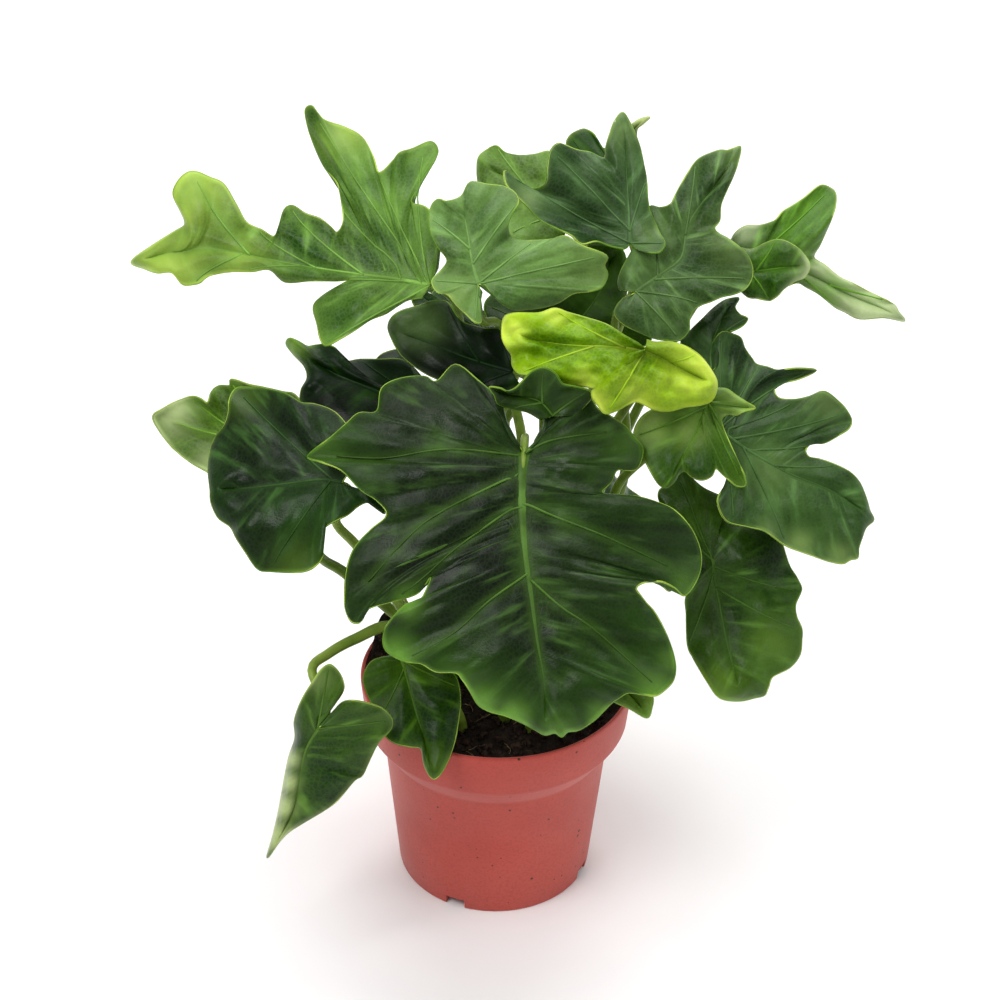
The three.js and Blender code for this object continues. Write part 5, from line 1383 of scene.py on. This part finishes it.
def leaf_stalk(leaf, place, move, normal):
    """A leaf's stalk, from under the soil into its first blade. normal is the blade's, at its base."""
    first = leaf["blades"][0]
    base, following, end = (move(seen_point(first, share)) for share in (0, FOLLOWING, INTO_BLADE))
    via = [] if place else [seen_at(*np.array(point, float)) for point in leaf.get("via", [])]
    root = (place or leaf)["root"]
    route = stalk_route(root, via, base, following, end, normal, leaf.get("approach", APPROACH))
    radii = np.linspace(STALK_ROOT_RADIUS, STALK_TIP_RADIUS, STALK_STEPS)
    radii[-STALK_TAPER:] *= np.linspace(1, STALK_END, STALK_TAPER)
    return tube(centripetal(route, STALK_STEPS), radii, STALK_SIDES, STALK_DENT)


# ---- Leaves ----
POINT_VALUES = ("vein", "rim", "rib", "out", "x", "y")


class LeafParts:
    """The points, faces, face materials and point values of a leaf's parts, joined as they come."""

    def __init__(self):
        self.points = []
        self.faces = []
        self.kinds = []
        self.values = {key: [] for key in POINT_VALUES}
        self.count = 0

    def add(self, points, faces, kinds, values):
        self.points.append(points)
        self.faces.extend(tuple(i + self.count for i in face) for face in faces)
        self.kinds.extend(kinds)
        for key in POINT_VALUES:
            self.values[key].append(values[key])
        self.count += len(points)

    def add_tube(self, made, kind, out=0.0):
        """Adds a tube or ribbon of one material. out is how far along its vein each ring counts."""
        points, faces = made
        zero = np.zeros(len(points))
        values = {key: zero for key in POINT_VALUES}
        values["rim"] = zero + FAR_OFF
        values["out"] = np.repeat(out, len(points) // np.size(out))
        self.add(points, faces, [kind] * len(faces), values)

    def value(self, key):
        return np.concatenate(self.values[key])


def placed_by(place):
    """Puts a far-side leaf's points in place: scaled, turned about the pot's axis, and lifted."""
    angle = math.radians(place["turn"])
    c, s = math.cos(angle), math.sin(angle)
    turn = np.array([[c, -s, 0], [s, c, 0], [0, 0, 1]])
    rise = place["lift"] + SIGHT_TARGET.z * (1 - place["scale"])
    return lambda points: points * place["scale"] @ turn.T + np.array([0, 0, rise])


def look_of(name):
    """A leaf's look, with what its row in LOOKS leaves out."""
    look = {**DARK, **LOOKS.get(name, {})}
    return {"deep": scaled(look["upper"], 0.3), "vein": scaled(look["upper"], 1.7), **look}


def add_blade(parts, sheet, move, band):
    """Adds a blade with its midrib, side veins and margin, and returns its normal at the base."""
    points, faces, kinds, normals = thicken(move(sheet.points), sheet.faces, sheet.edge)
    parts.add(points, faces, kinds, {key: np.tile(value, 2) for key, value in sheet.values.items()})
    steps = np.linspace(0, 1, len(sheet.midrib))
    ridge, ridge_faces = ribbon(sheet.midrib, band * (1 - RIBBON_TAPER * steps**0.5),
                                np.linspace(*RIBBON_HEIGHTS, len(steps)))
    parts.add_tube((move(ridge), ridge_faces), VEIN, steps * VEIN_OUT[1])
    for line in sheet.veins:
        vein = tube(move(line), np.linspace(*VEIN_RADII, len(line)), VEIN_SIDES)
        parts.add_tube(vein, VEIN, np.linspace(*VEIN_OUT, len(line)))
    bead = move(sheet.bead)
    parts.add_tube(tube(bead, np.full(len(bead), MARGIN_RADIUS), MARGIN_SIDES), MARGIN)
    return normals[0]


def spot_strengths(x, y, spots):
    """How strongly each place on the picture lies in one of the spots."""
    strengths = np.zeros(len(x))
    for spot_x, spot_y, reach, strength in spots:
        away = (x - spot_x) ** 2 + (y - spot_y) ** 2
        strengths = np.maximum(strengths, strength * np.exp(-away / reach**2))
    return strengths


def make_leaf(name, leaf, place, seed, shared):
    """One leaf, its blades and its stalk, as one object that stays inside the solid model's box."""
    move = placed_by(place) if place else (lambda points: points)
    look = look_of(name)
    parts = LeafParts()
    normals = []
    for number, blade in enumerate(leaf["blades"]):
        drawn = None if number else VEINS.get(name)
        band = min(look["band"], SMALL_BAND) if number else look["band"]
        normals.append(add_blade(parts, blade_sheet(blade, seed + number, look["relief"], drawn), move, band))
    parts.add_tube(leaf_stalk(leaf, place, move, normals[0]), STALK)

    low, high = (np.array(corner) / MM for corner in CAD_BOX)
    piece = new_mesh(name + "_fine", np.clip(np.vstack(parts.points), low, high), parts.faces)
    for key in ("vein", "rim", "rib", "out"):
        add_attribute(piece, key, parts.value(key))
    # Pale spots, partly the leaf's own paler green and partly painted highlight, and dark spots, partly its
    # own darker green and partly painted shade.
    for key, spots in (("pale", look["spots"]), ("deep", look["shades"])):
        add_attribute(piece, key, spot_strengths(parts.value("x"), parts.value("y"), spots))
    own = [upper_material(name, look), under_material(name, look)]
    for material in (*own, *shared, vein_material(name, look)):
        piece.data.materials.append(material)
    piece.data.polygons.foreach_set("material_index", np.array(parts.kinds, np.int32))
    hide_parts(name)
    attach(piece, BODY)


# ---- Materials: noise and cell sizes are per metre, bumps are in metres ----
LIT = 1.2  # how bright a white surface shows that faces the lights
GLOSS = 0.016  # what a surface's gloss adds to its colour
LEAST = 0.15  # share of its light that a colour keeps when the gloss is taken off
NET = 520  # the leaves' fine cells

MARGIN_COLOURS = (104, 146, 46), (176, 206, 84)
STALK_COLOURS = (104, 134, 44), (162, 186, 84)
STALK_STREAK = (76, 104, 34)
LEAF_SPECK = (196, 208, 184)
POT_COLOURS = (170, 60, 48), (186, 73, 59)
POT_GRAIN = (142, 46, 38)
POT_SPECK = (52, 14, 8)
SOIL_COLOURS = (20, 14, 11), (52, 38, 30)
CRUMB_COLOURS = (24, 17, 13), (74, 54, 42)
FIBRE_COLOURS = (96, 76, 52), (168, 146, 112)
SHEATH_COLOURS = (150, 150, 70), (196, 190, 110)
SHEATH_BROWN = (110, 92, 48)
PAPER_COLOURS = (250, 250, 250), (253, 253, 253)


class Nodes:
    """Short calls for building a node material."""

    def __init__(self, name):
        self.material = bpy.data.materials.new(name)
        self.material.use_nodes = True
        self.tree = self.material.node_tree
        self.shader = self.tree.nodes["Principled BSDF"]

    def add(self, kind, **settings):
        node = self.tree.nodes.new(kind)
        for key, value in settings.items():
            setattr(node, key, value)
        return node

    def link(self, out, into):
        self.tree.links.new(out, into)

    def fill(self, node, **values):
        """Sets or links sockets of a node. Their names are written small here, with underscores."""
        for key, value in values.items():
            self.value(node.inputs[key.replace("_", " ").title()], value)

    def value(self, socket, value):
        """Sets a socket to a number or colour, or links it."""
        if isinstance(value, bpy.types.NodeSocket):
            self.link(value, socket)
        else:
            socket.default_value = value

    def attribute(self, name):
        return self.add("ShaderNodeAttribute", attribute_name=name).outputs["Fac"]

    def place(self):
        return self.add("ShaderNodeTexCoord").outputs["Object"]

    def noise(self, scale, detail=3.0, rough=0.5):
        node = self.add("ShaderNodeTexNoise")
        self.fill(node, vector=self.place(), scale=scale, detail=detail, roughness=rough)
        return node.outputs["Fac"]

    def ramp(self, value, low, high, out_low=0.0, out_high=1.0):
        node = self.add("ShaderNodeMapRange", clamp=True, interpolation_type="SMOOTHSTEP")
        self.fill(node, value=value, from_min=low, from_max=high, to_min=out_low, to_max=out_high)
        return node.outputs["Result"]

    def times(self, a, b):
        node = self.add("ShaderNodeMath", operation="MULTIPLY")
        self.value(node.inputs[0], a)
        self.value(node.inputs[1], b)
        return node.outputs[0]

    def mix(self, factor, a, b):
        node = self.add("ShaderNodeMix", data_type="RGBA")
        self.value(node.inputs["Factor"], factor)
        self.value(node.inputs[6], a)
        self.value(node.inputs[7], b)
        return node.outputs[2]

    def clouds(self, noise, low, high, colours):
        """Two colours mixed by a noise."""
        return self.mix(self.ramp(noise, low, high), *colours)

    def bump(self, height, distance, strength=1.0, normal=None):
        node = self.add("ShaderNodeBump")
        self.fill(node, strength=strength, distance=distance, height=height)
        if normal is not None:
            self.link(normal, node.inputs["Normal"])
        return node.outputs["Normal"]

    def net(self):
        """0 on the lines between a leaf's fine cells, and 1 inside them."""
        cells = self.add("ShaderNodeTexVoronoi", feature="DISTANCE_TO_EDGE")
        self.fill(cells, vector=self.place(), scale=NET)
        return self.ramp(cells.outputs["Distance"], 0.0, 0.25)

    def specks(self, scale, rare, size):
        """Small round specks of many sizes, in the few cells whose random value is over rare."""
        cell = self.add("ShaderNodeTexVoronoi", feature="F1")
        self.fill(cell, vector=self.place(), scale=scale)
        chosen = self.add("ShaderNodeSeparateColor")
        self.link(cell.outputs["Color"], chosen.inputs["Color"])
        inside = self.add("ShaderNodeMath", operation="LESS_THAN")
        self.link(cell.outputs["Distance"], inside.inputs[0])
        self.link(self.times(chosen.outputs["Green"], size), inside.inputs[1])
        return self.times(self.ramp(chosen.outputs["Red"], rare, rare + 0.002), inside.outputs[0])

    def streaks(self):
        """A noise that runs along the ribs of a blade, for its painted highlight and painted shade."""
        along = self.add("ShaderNodeCombineXYZ")
        self.link(self.times(self.attribute("rib"), 0.9), along.inputs["X"])
        self.link(self.times(self.attribute("out"), 0.045), along.inputs["Y"])
        streak = self.add("ShaderNodeTexNoise")
        self.fill(streak, vector=along.outputs["Vector"], scale=1.0, detail=5)
        return streak.outputs["Fac"]

    def finish(self, color, roughness, normal=None, specular=0.5):
        self.fill(self.shader, base_color=color, roughness=roughness)
        self.shader.inputs["Specular IOR Level"].default_value = specular
        if normal is not None:
            self.link(normal, self.shader.inputs["Normal"])
        return self.material


def surface(rgb, factor=1.0):
    """The surface colour that shows as an sRGB colour times a factor, under this scene's lights."""
    light = [c * factor for c in linear(rgb)[:3]]
    return [min(max((c - GLOSS) / LIT, c * LEAST), 1) for c in light] + [1]


def upper_material(name, look):
    """The satin upper face: clouded green, streaked with painted highlight and shade along its veins, paler
    towards the margin.
    """
    n = Nodes(name + "_upper")
    upper = look["upper"]
    body = n.clouds(n.noise(13, 3), 0.38, 0.62, (surface(upper, 0.35), surface(upper, 0.95)))
    body = n.mix(n.ramp(n.noise(34, 4, 0.6), 0.52, 0.72, 0, 0.6), body, surface(upper, 1.6))
    # Dark spots: partly the leaf's own darker green and partly painted shade in hollows, folds and under
    # other leaves.
    deep = n.times(n.attribute("deep"), n.ramp(n.noise(40, 3), 0.3, 0.7, 0.75, 1.2))
    body = n.mix(deep, body, surface(look["deep"]))
    # Painted highlight and painted shade: paler and darker streaking along the ribs, standing in for the
    # satin sheen and the folds.
    streak = n.streaks()
    bright = min(3.2, 0.55 / linear(upper)[1])
    body = n.mix(n.ramp(streak, 0.5, 0.8, 0, 0.6), body, surface(upper, bright))
    body = n.mix(n.ramp(streak, 0.5, 0.25, 0, 0.55), body, surface(look["deep"], 0.8))
    # Pale spots: partly the leaf's own paler green and partly painted highlight.
    pale = n.attribute("pale")
    body = n.mix(n.times(pale, n.ramp(n.noise(45, 4), 0.3, 0.7, 0.7, 1.25)), body, surface(look["far"]))
    rim = n.times(n.ramp(n.attribute("rim"), 0.3, 2.6, 1, 0), n.ramp(pale, 0.0, 0.5, 0.14, 0.9))
    body = n.mix(rim, body, surface(scaled(look["far"], 1.15)))
    net = n.net()
    body = n.mix(n.ramp(net, 0, 1, 0.1, 0.0), body, surface(upper, 1.8))
    body = n.mix(n.ramp(n.attribute("vein"), 0.5, 4.5, 0.22, 0.0), body, surface(look["vein"]))
    body = n.mix(n.specks(110, 0.965, 0.13), body, surface(LEAF_SPECK))
    rough = n.ramp(n.noise(60, 3), 0.3, 0.7, 0.34, 0.5)
    normal = n.bump(n.noise(110, 4, 0.55), 0.0009, 0.5, n.bump(net, 0.0001, 0.25))
    return n.finish(body, rough, normal, 0.15)


def under_material(name, look):
    """The dull underside, paler along its veins."""
    n = Nodes(name + "_under")
    under = look["under"]
    body = n.clouds(n.noise(35, 4), 0.35, 0.7, (surface(under, 0.7), surface(under, 1.2)))
    body = n.mix(n.ramp(n.attribute("vein"), 0.4, 2.4, 0.5, 0.0), body, surface(under, 1.8))
    body = n.mix(n.ramp(n.net(), 0, 1, 0.15, 0.0), body, surface(under, 1.5))
    return n.finish(body, 0.58, n.bump(n.noise(120, 5, 0.6), 0.001, 0.6), 0.15)


def margin_material():
    """The thin pale line round every blade."""
    n = Nodes("leaf_margin")
    body = n.clouds(n.noise(40, 3), 0.38, 0.62, [surface(rgb) for rgb in MARGIN_COLOURS])
    return n.finish(body, 0.45, None, 0.25)


def vein_material(name, look):
    """The midrib and side veins: paler than the blade and smooth, fading outwards."""
    n = Nodes(name + "_vein")
    body = n.clouds(n.noise(70, 3), 0.35, 0.65, (surface(look["vein"], 0.6), surface(look["vein"], 1.15)))
    body = n.mix(n.ramp(n.attribute("out"), 6, 50, 0, 0.7), body, surface(look["upper"], 1.3))
    return n.finish(body, 0.5, n.bump(n.noise(300, 2), 0.0003, 0.4), 0.2)


def stalk_material():
    """The stalks: smooth, streaked, yellow-green."""
    n = Nodes("leaf_stalk")
    streak = n.noise(150, 2)
    body = n.clouds(n.noise(18, 3), 0.3, 0.7, [surface(rgb) for rgb in STALK_COLOURS])
    body = n.mix(n.ramp(streak, 0.45, 0.7, 0, 0.4), body, surface(STALK_STREAK))
    return n.finish(body, 0.42, n.bump(streak, 0.0004, 0.5), 0.3)


def pot_material():
    """Moulded terracotta-coloured plastic: satin, faintly mottled, with specks of soil."""
    n = Nodes("pot_plastic_fine")
    grain = n.noise(900, 2)
    body = n.clouds(n.noise(14, 4), 0.3, 0.7, [linear(rgb) for rgb in POT_COLOURS])
    body = n.mix(n.ramp(grain, 0.4, 0.7, 0, 0.35), body, linear(POT_GRAIN))
    specks = n.times(n.specks(290, 0.74, 0.22), n.ramp(n.noise(22, 2), 0.36, 0.5))
    body = n.mix(specks, body, linear(POT_SPECK))
    n.shader.inputs["Sheen Weight"].default_value = 0.16
    n.shader.inputs["Sheen Roughness"].default_value = 0.5
    rough = n.ramp(n.noise(40, 3), 0.3, 0.7, 0.6, 0.72)
    return n.finish(body, rough, n.bump(grain, 0.0002, 0.35), 0.35)


def soil_material(name, colours):
    n = Nodes(name)
    body = n.clouds(n.noise(260, 6, 0.7), 0.35, 0.7, [linear(rgb) for rgb in colours])
    return n.finish(body, 0.95, n.bump(n.noise(700, 6, 0.7), 0.0015), 0.2)


def sheath_material():
    """The crown's papery sheath: pale, with brown flecks."""
    n = Nodes("crown_sheath")
    body = n.clouds(n.noise(60, 4), 0.35, 0.7, [linear(rgb) for rgb in SHEATH_COLOURS])
    body = n.mix(n.ramp(n.noise(300, 2), 0.5, 0.7, 0, 0.5), body, linear(SHEATH_BROWN))
    return n.finish(body, 0.6, n.bump(n.noise(220, 4), 0.0006, 0.7))


def paper_material():
    n = Nodes("floor_paper")
    return n.finish(n.mix(n.noise(3, 2), *(linear(rgb) for rgb in PAPER_COLOURS)), 0.9)


# ---- Pot ----
def inside_wall():
    """The inside of the pot's wall as (radius, height), from the floor up to the lip."""
    wall_top = WALL_TOP_RADIUS - WALL
    return [
        (BASE_RADIUS - WALL - EDGE, FLOOR_RAISE + FLOOR),
        (BASE_RADIUS - WALL, FLOOR_RAISE + FLOOR + EDGE),
        (wall_top, FLARE_FROM + INSIDE_RAISE),
        (wall_top + FLARE_BEND, FLARE_FROM + FLARE_EASE + INSIDE_RAISE),
        (INSIDE_RADIUS - FLARE_BEND, FLARE_TO - FLARE_EASE + INSIDE_RAISE),
        (INSIDE_RADIUS, FLARE_TO + INSIDE_RAISE),
        (RIM_RADIUS - WALL, POT_HEIGHT - EDGE / 2),
    ]


def flare(share):
    """The soft S of the flare: (radius, height) at a share of its height."""
    height = FLARE_FROM + (FLARE_TO - FLARE_FROM) * share
    across = [WALL_TOP_RADIUS, WALL_TOP_RADIUS + FLARE_BEND, COLLAR_RADIUS - FLARE_BEND, COLLAR_RADIUS]
    ease = FLARE_EASE / (FLARE_TO - FLARE_FROM)
    at = np.interp(share, [0, ease, 1 - ease, 1], [0, 1, 2, 3])
    radius = spline_rows(np.array(across)[:, None], np.array([at]))[0, 0]
    return float(radius), height


def pot_profile():
    """The pot's wall, collar and raised floor as one closed profile of (radius, height)."""
    outside = [
        (BASE_RADIUS - EDGE, 0),
        (BASE_RADIUS - EDGE / 4, EDGE / 2),
        (BASE_RADIUS, 1.5 * EDGE),
        ((BASE_RADIUS + WALL_TOP_RADIUS) / 2, FLARE_FROM / 2),
        *(flare(k / FLARE_STEPS) for k in range(FLARE_STEPS + 1)),
        (RIM_RADIUS - EDGE / 16, POT_HEIGHT - 2 * EDGE),
        (RIM_RADIUS, POT_HEIGHT - EDGE),
        (RIM_RADIUS - EDGE * 3 / 8, POT_HEIGHT - EDGE / 4),
        (RIM_RADIUS - EDGE, POT_HEIGHT),
    ]
    floor = [
        (PAD_RADIUS + PAD_SLOPE - 1, FLOOR_RAISE + FLOOR),
        (PAD_RADIUS - 1, FLOOR),
        (0, FLOOR),
        (0, 0),
        (PAD_RADIUS, 0),
        (PAD_RADIUS + PAD_SLOPE, FLOOR_RAISE),
        (BASE_RADIUS - 2 * WALL - EDGE, FLOOR_RAISE),
        (BASE_RADIUS - 2 * WALL, 0),
    ]
    return [*outside, *inside_wall()[::-1], *floor]


def add_ring(points, rows, radius, heights, sides):
    """Adds a ring of points about Z, and its row of point numbers."""
    angles = circle(sides)
    rows.append(list(range(len(points), len(points) + sides)))
    points.extend(zip(radius * np.cos(angles), radius * np.sin(angles), np.broadcast_to(heights, sides)))


def lathe(name, profile, sides):
    """A closed profile turned about Z."""
    points, rows = [], []
    for radius, height in profile:
        if radius == 0:
            rows.append([len(points)] * sides)
            points.append((0, 0, height))
        else:
            add_ring(points, rows, radius, height, sides)
    return new_mesh(name, points, bands([*rows, rows[0]]))


def cut(piece, tool):
    """Takes the tool's shape out of the piece and removes the tool."""
    step = piece.modifiers.new("cut", "BOOLEAN")
    step.operation = "DIFFERENCE"
    step.solver = "EXACT"
    step.object = tool
    bpy.context.view_layer.objects.active = piece
    bpy.context.view_layer.update()
    applied = bpy.data.meshes.new_from_object(piece.evaluated_get(bpy.context.evaluated_depsgraph_get()))
    piece.modifiers.clear()
    piece.data = applied
    bpy.data.objects.remove(tool)


def notch_tools(shape):
    """The blocks that leave the notches in the foot."""
    size = Matrix.Diagonal((NOTCH_DEPTH * MM, NOTCH_WIDTH * MM, 2 * NOTCH_HEIGHT * MM, 1))
    move = Matrix.Translation((BASE_RADIUS * MM, 0, 0))
    for k in range(NOTCHES):
        turn = Matrix.Rotation(math.radians(NOTCH_TURN) + k / NOTCHES * TURN, 4, "Z")
        bmesh.ops.create_cube(shape, size=1, matrix=turn @ move @ size)


def drain_tools(shape):
    """The rods that leave the drain holes."""
    radius = DRAIN_RADIUS * MM
    move = Matrix.Translation((DRAIN_CIRCLE * MM, 0, (FLOOR_RAISE + FLOOR / 2) * MM))
    for k in range(DRAIN_HOLES):
        turn = Matrix.Rotation((k + 0.5) / DRAIN_HOLES * TURN, 4, "Z")
        bmesh.ops.create_cone(shape, cap_ends=True, segments=DRAIN_SIDES, radius1=radius,
                              radius2=radius, depth=4 * FLOOR * MM, matrix=turn @ move)


def make_pot():
    pot = lathe("pot_fine", pot_profile(), POT_SIDES)
    cut(pot, shaped("notches", notch_tools))
    cut(pot, shaped("drains", drain_tools))
    pot.data.materials.clear()
    pot.data.materials.append(pot_material())
    smooth_faces(pot.data)
    pot.data.set_sharp_from_angle(angle=math.radians(POT_CREASE))
    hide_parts("pot")
    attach(pot, BODY)


# ---- Soil ----
def soil_top(x, y, phases):
    """The height of the soil's cloddy top."""
    z = soil_height(x, y)
    for k, turn in enumerate(CLOD_TURNS):
        size = CLOD_HEIGHT / (1 + k)
        z = z + size * np.sin(x * turn + phases[k]) * np.sin(y * turn * 1.1 + phases[k + 4])
    return z


def make_soil():
    """The soil: a closed body with a crumbly top that fills the pot."""
    angles = circle(SOIL_SIDES)
    draw = np.random.default_rng(SOIL_SEED)
    phases = draw.uniform(0, TURN, 12)
    points, rows = [], []
    for radius, height in inside_wall()[:-1]:
        add_ring(points, rows, radius - SOIL_GAP, height + SOIL_LIFT, SOIL_SIDES)
    for n in range(SOIL_RINGS, 0, -1):
        radius = (INSIDE_RADIUS - SOIL_GAP) * n / SOIL_RINGS
        heights = soil_top(radius * np.cos(angles), radius * np.sin(angles), phases)
        if n < SOIL_RINGS:
            heights = heights + draw.normal(0, SOIL_GRAIN, SOIL_SIDES)
        add_ring(points, rows, radius, heights, SOIL_SIDES)
    centre = len(points)
    points.append((0, 0, float(soil_top(0.0, 0.0, phases))))
    faces = bands([*rows, [centre] * SOIL_SIDES])
    faces.append(rows[0][::-1])
    soil = new_mesh("soil_fine", points, faces)
    soil.data.materials.append(soil_material("soil_dark", SOIL_COLOURS))
    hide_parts("soil")
    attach(soil, BODY)


def random_place(draw, inset):
    """A random place on the soil, an inset away from the pot's wall."""
    radius = (INSIDE_RADIUS - inset) * math.sqrt(draw.uniform(0, 1))
    angle = draw.uniform(0, TURN)
    return radius * math.cos(angle), radius * math.sin(angle)


def crumb(draw):
    """One rough lump on the soil."""
    x, y = random_place(draw, CRUMB_INSET)
    size = draw.uniform(0.3, 1.0) ** 2 * CRUMB_SIZE
    shape = bmesh.new()
    bmesh.ops.create_icosphere(shape, subdivisions=1, radius=1)
    stretch = draw.uniform(0.6, 1.3, 3)
    points = [np.array(v.co) * stretch * (1 + draw.normal(0, 0.16)) for v in shape.verts]
    faces = [[v.index for v in f.verts] for f in shape.faces]
    shape.free()
    return np.array(points) * size + np.array([x, y, soil_height(x, y) + 0.2]), faces


def make_crumbs():
    """Loose crumbs of peat and bark on the soil."""
    draw = np.random.default_rng(CRUMB_SEED)
    points, faces = joined(crumb(draw) for _ in range(CRUMBS))
    crumbs = new_mesh("soil_crumbs", points, faces, smooth=False)
    crumbs.data.materials.append(soil_material("soil_crumb", CRUMB_COLOURS))
    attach(crumbs, BODY)


def fibre_line(draw):
    """A wandering line over the soil, which ends early at the pot's wall."""
    x, y = random_place(draw, FIBRE_INSET)
    heading = draw.uniform(0, TURN)
    line = []
    for _ in range(FIBRE_POINTS):
        heading += draw.normal(0, 0.35)
        x += FIBRE_STEP * math.cos(heading)
        y += FIBRE_STEP * math.sin(heading)
        if math.hypot(x, y) > INSIDE_RADIUS - CRUMB_INSET:
            break
        line.append((x, y, soil_height(x, y) + draw.uniform(0.8, 1.6)))
    return np.array(line)


def make_fibres():
    """A few pale root fibres lying on the soil."""
    draw = np.random.default_rng(FIBRE_SEED)
    lines = [fibre_line(draw) for _ in range(FIBRES)]
    tubes = [tube(line, np.linspace(*FIBRE_RADII, len(line)), FIBRE_SIDES) for line in lines if len(line) > 3]
    points, faces = joined(tubes)
    fibres = new_mesh("soil_fibres", points, faces)
    fibres.data.materials.append(soil_material("soil_fibre", FIBRE_COLOURS))
    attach(fibres, BODY)


def make_crown():
    """The short leaning stem with its papery sheath."""
    x, y = CROWN_PLACE
    bends = [
        (-STALK_ROOT_DEPTH, 0),
        (CROWN_HEIGHT / 5, 0),
        (CROWN_HEIGHT * 0.6, CROWN_LEAN / 3),
        (CROWN_HEIGHT, CROWN_LEAN),
    ]
    line = centripetal([(x - lean, y, SOIL_TOP + rise) for rise, lean in bends], CROWN_STEPS)
    steps = np.linspace(0, 1, CROWN_STEPS)
    radii = (CROWN_RADIUS - 0.2) + (CROWN_TIP_RADIUS - CROWN_RADIUS) * steps
    radii = radii + CROWN_WAVES["height"] * np.sin(steps * CROWN_WAVES["turns"]) * (1 - steps)
    points, faces = tube(line, radii, CROWN_SIDES)
    crown = new_mesh("crown_fine", points, faces)
    crown.data.materials.append(sheath_material())
    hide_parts("crown")
    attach(crown, BODY)


# ---- Camera, floor and light, in metres and watts ----
CAMERA_REACH = 20
FLOOR_SIZE = 3.0
FLOOR_STEPS = 8
WORLD_LIGHT = 0.4
# (name, place, what it faces, width and height, power)
LIGHTS = [
    ("key", (-0.8, -0.7, 1.6), (0, 0, 0.2), (0.9, 0.7), 18),
    ("top", (0.2, 0.5, 1.8), (0, 0.1, 0.2), (1.2, 0.9), 20),
    ("right", (1.4, -0.6, 0.9), (0, 0, 0.2), (0.7, 0.9), 5),
    ("far", (0, 2.0, 1.5), (0, 1.0, 0), (2.0, 0.6), 16),
]


def make_camera():
    data = bpy.data.cameras.new("camera")
    data.sensor_width = SENSOR
    data.lens = SIGHT_FOCAL / PICTURE * SENSOR
    data.clip_end = CAMERA_REACH
    camera = new_object("camera", data)
    turn = Matrix((RIGHT, UP, BACK)).transposed().to_4x4()
    camera.matrix_world = Matrix.Translation(EYE * MM) @ turn
    bpy.context.scene.camera = camera


def floor_grid(shape):
    bmesh.ops.create_grid(shape, x_segments=FLOOR_STEPS, y_segments=FLOOR_STEPS, size=FLOOR_SIZE)


def make_floor():
    floor = shaped("floor", floor_grid)
    floor.data.materials.append(paper_material())


def make_light(name, place, target, size, power):
    data = bpy.data.lights.new(name, "AREA")
    data.shape = "RECTANGLE"
    data.size, data.size_y = size
    data.energy = power
    light = new_object(name, data)
    light.location = place
    light.rotation_euler = (Vector(target) - Vector(place)).to_track_quat("-Z", "Y").to_euler()


def make_lights():
    world = bpy.data.worlds.new("studio")
    world.use_nodes = True
    background = world.node_tree.nodes["Background"]
    background.inputs["Color"].default_value = (1, 1, 1, 1)
    background.inputs["Strength"].default_value = WORLD_LIGHT
    bpy.context.scene.world = world
    for light in LIGHTS:
        make_light(*light)
    bpy.context.scene.view_settings.view_transform = "Standard"


# ---- Everything ----
def main():
    make_camera()
    make_floor()
    make_lights()
    make_pot()
    make_soil()
    make_crumbs()
    make_fibres()
    make_crown()
    shared = [margin_material(), stalk_material()]
    for number, leaf in enumerate(LEAVES):
        make_leaf(leaf["name"], leaf, None, number * SEED_STEP, shared)
    for number, place in enumerate(FAR_SIDE):
        like = next(leaf for leaf in LEAVES if leaf["name"] == place["like"])
        make_leaf(place["name"], like, place, FAR_SIDE_SEED + number * SEED_STEP, shared)


main()
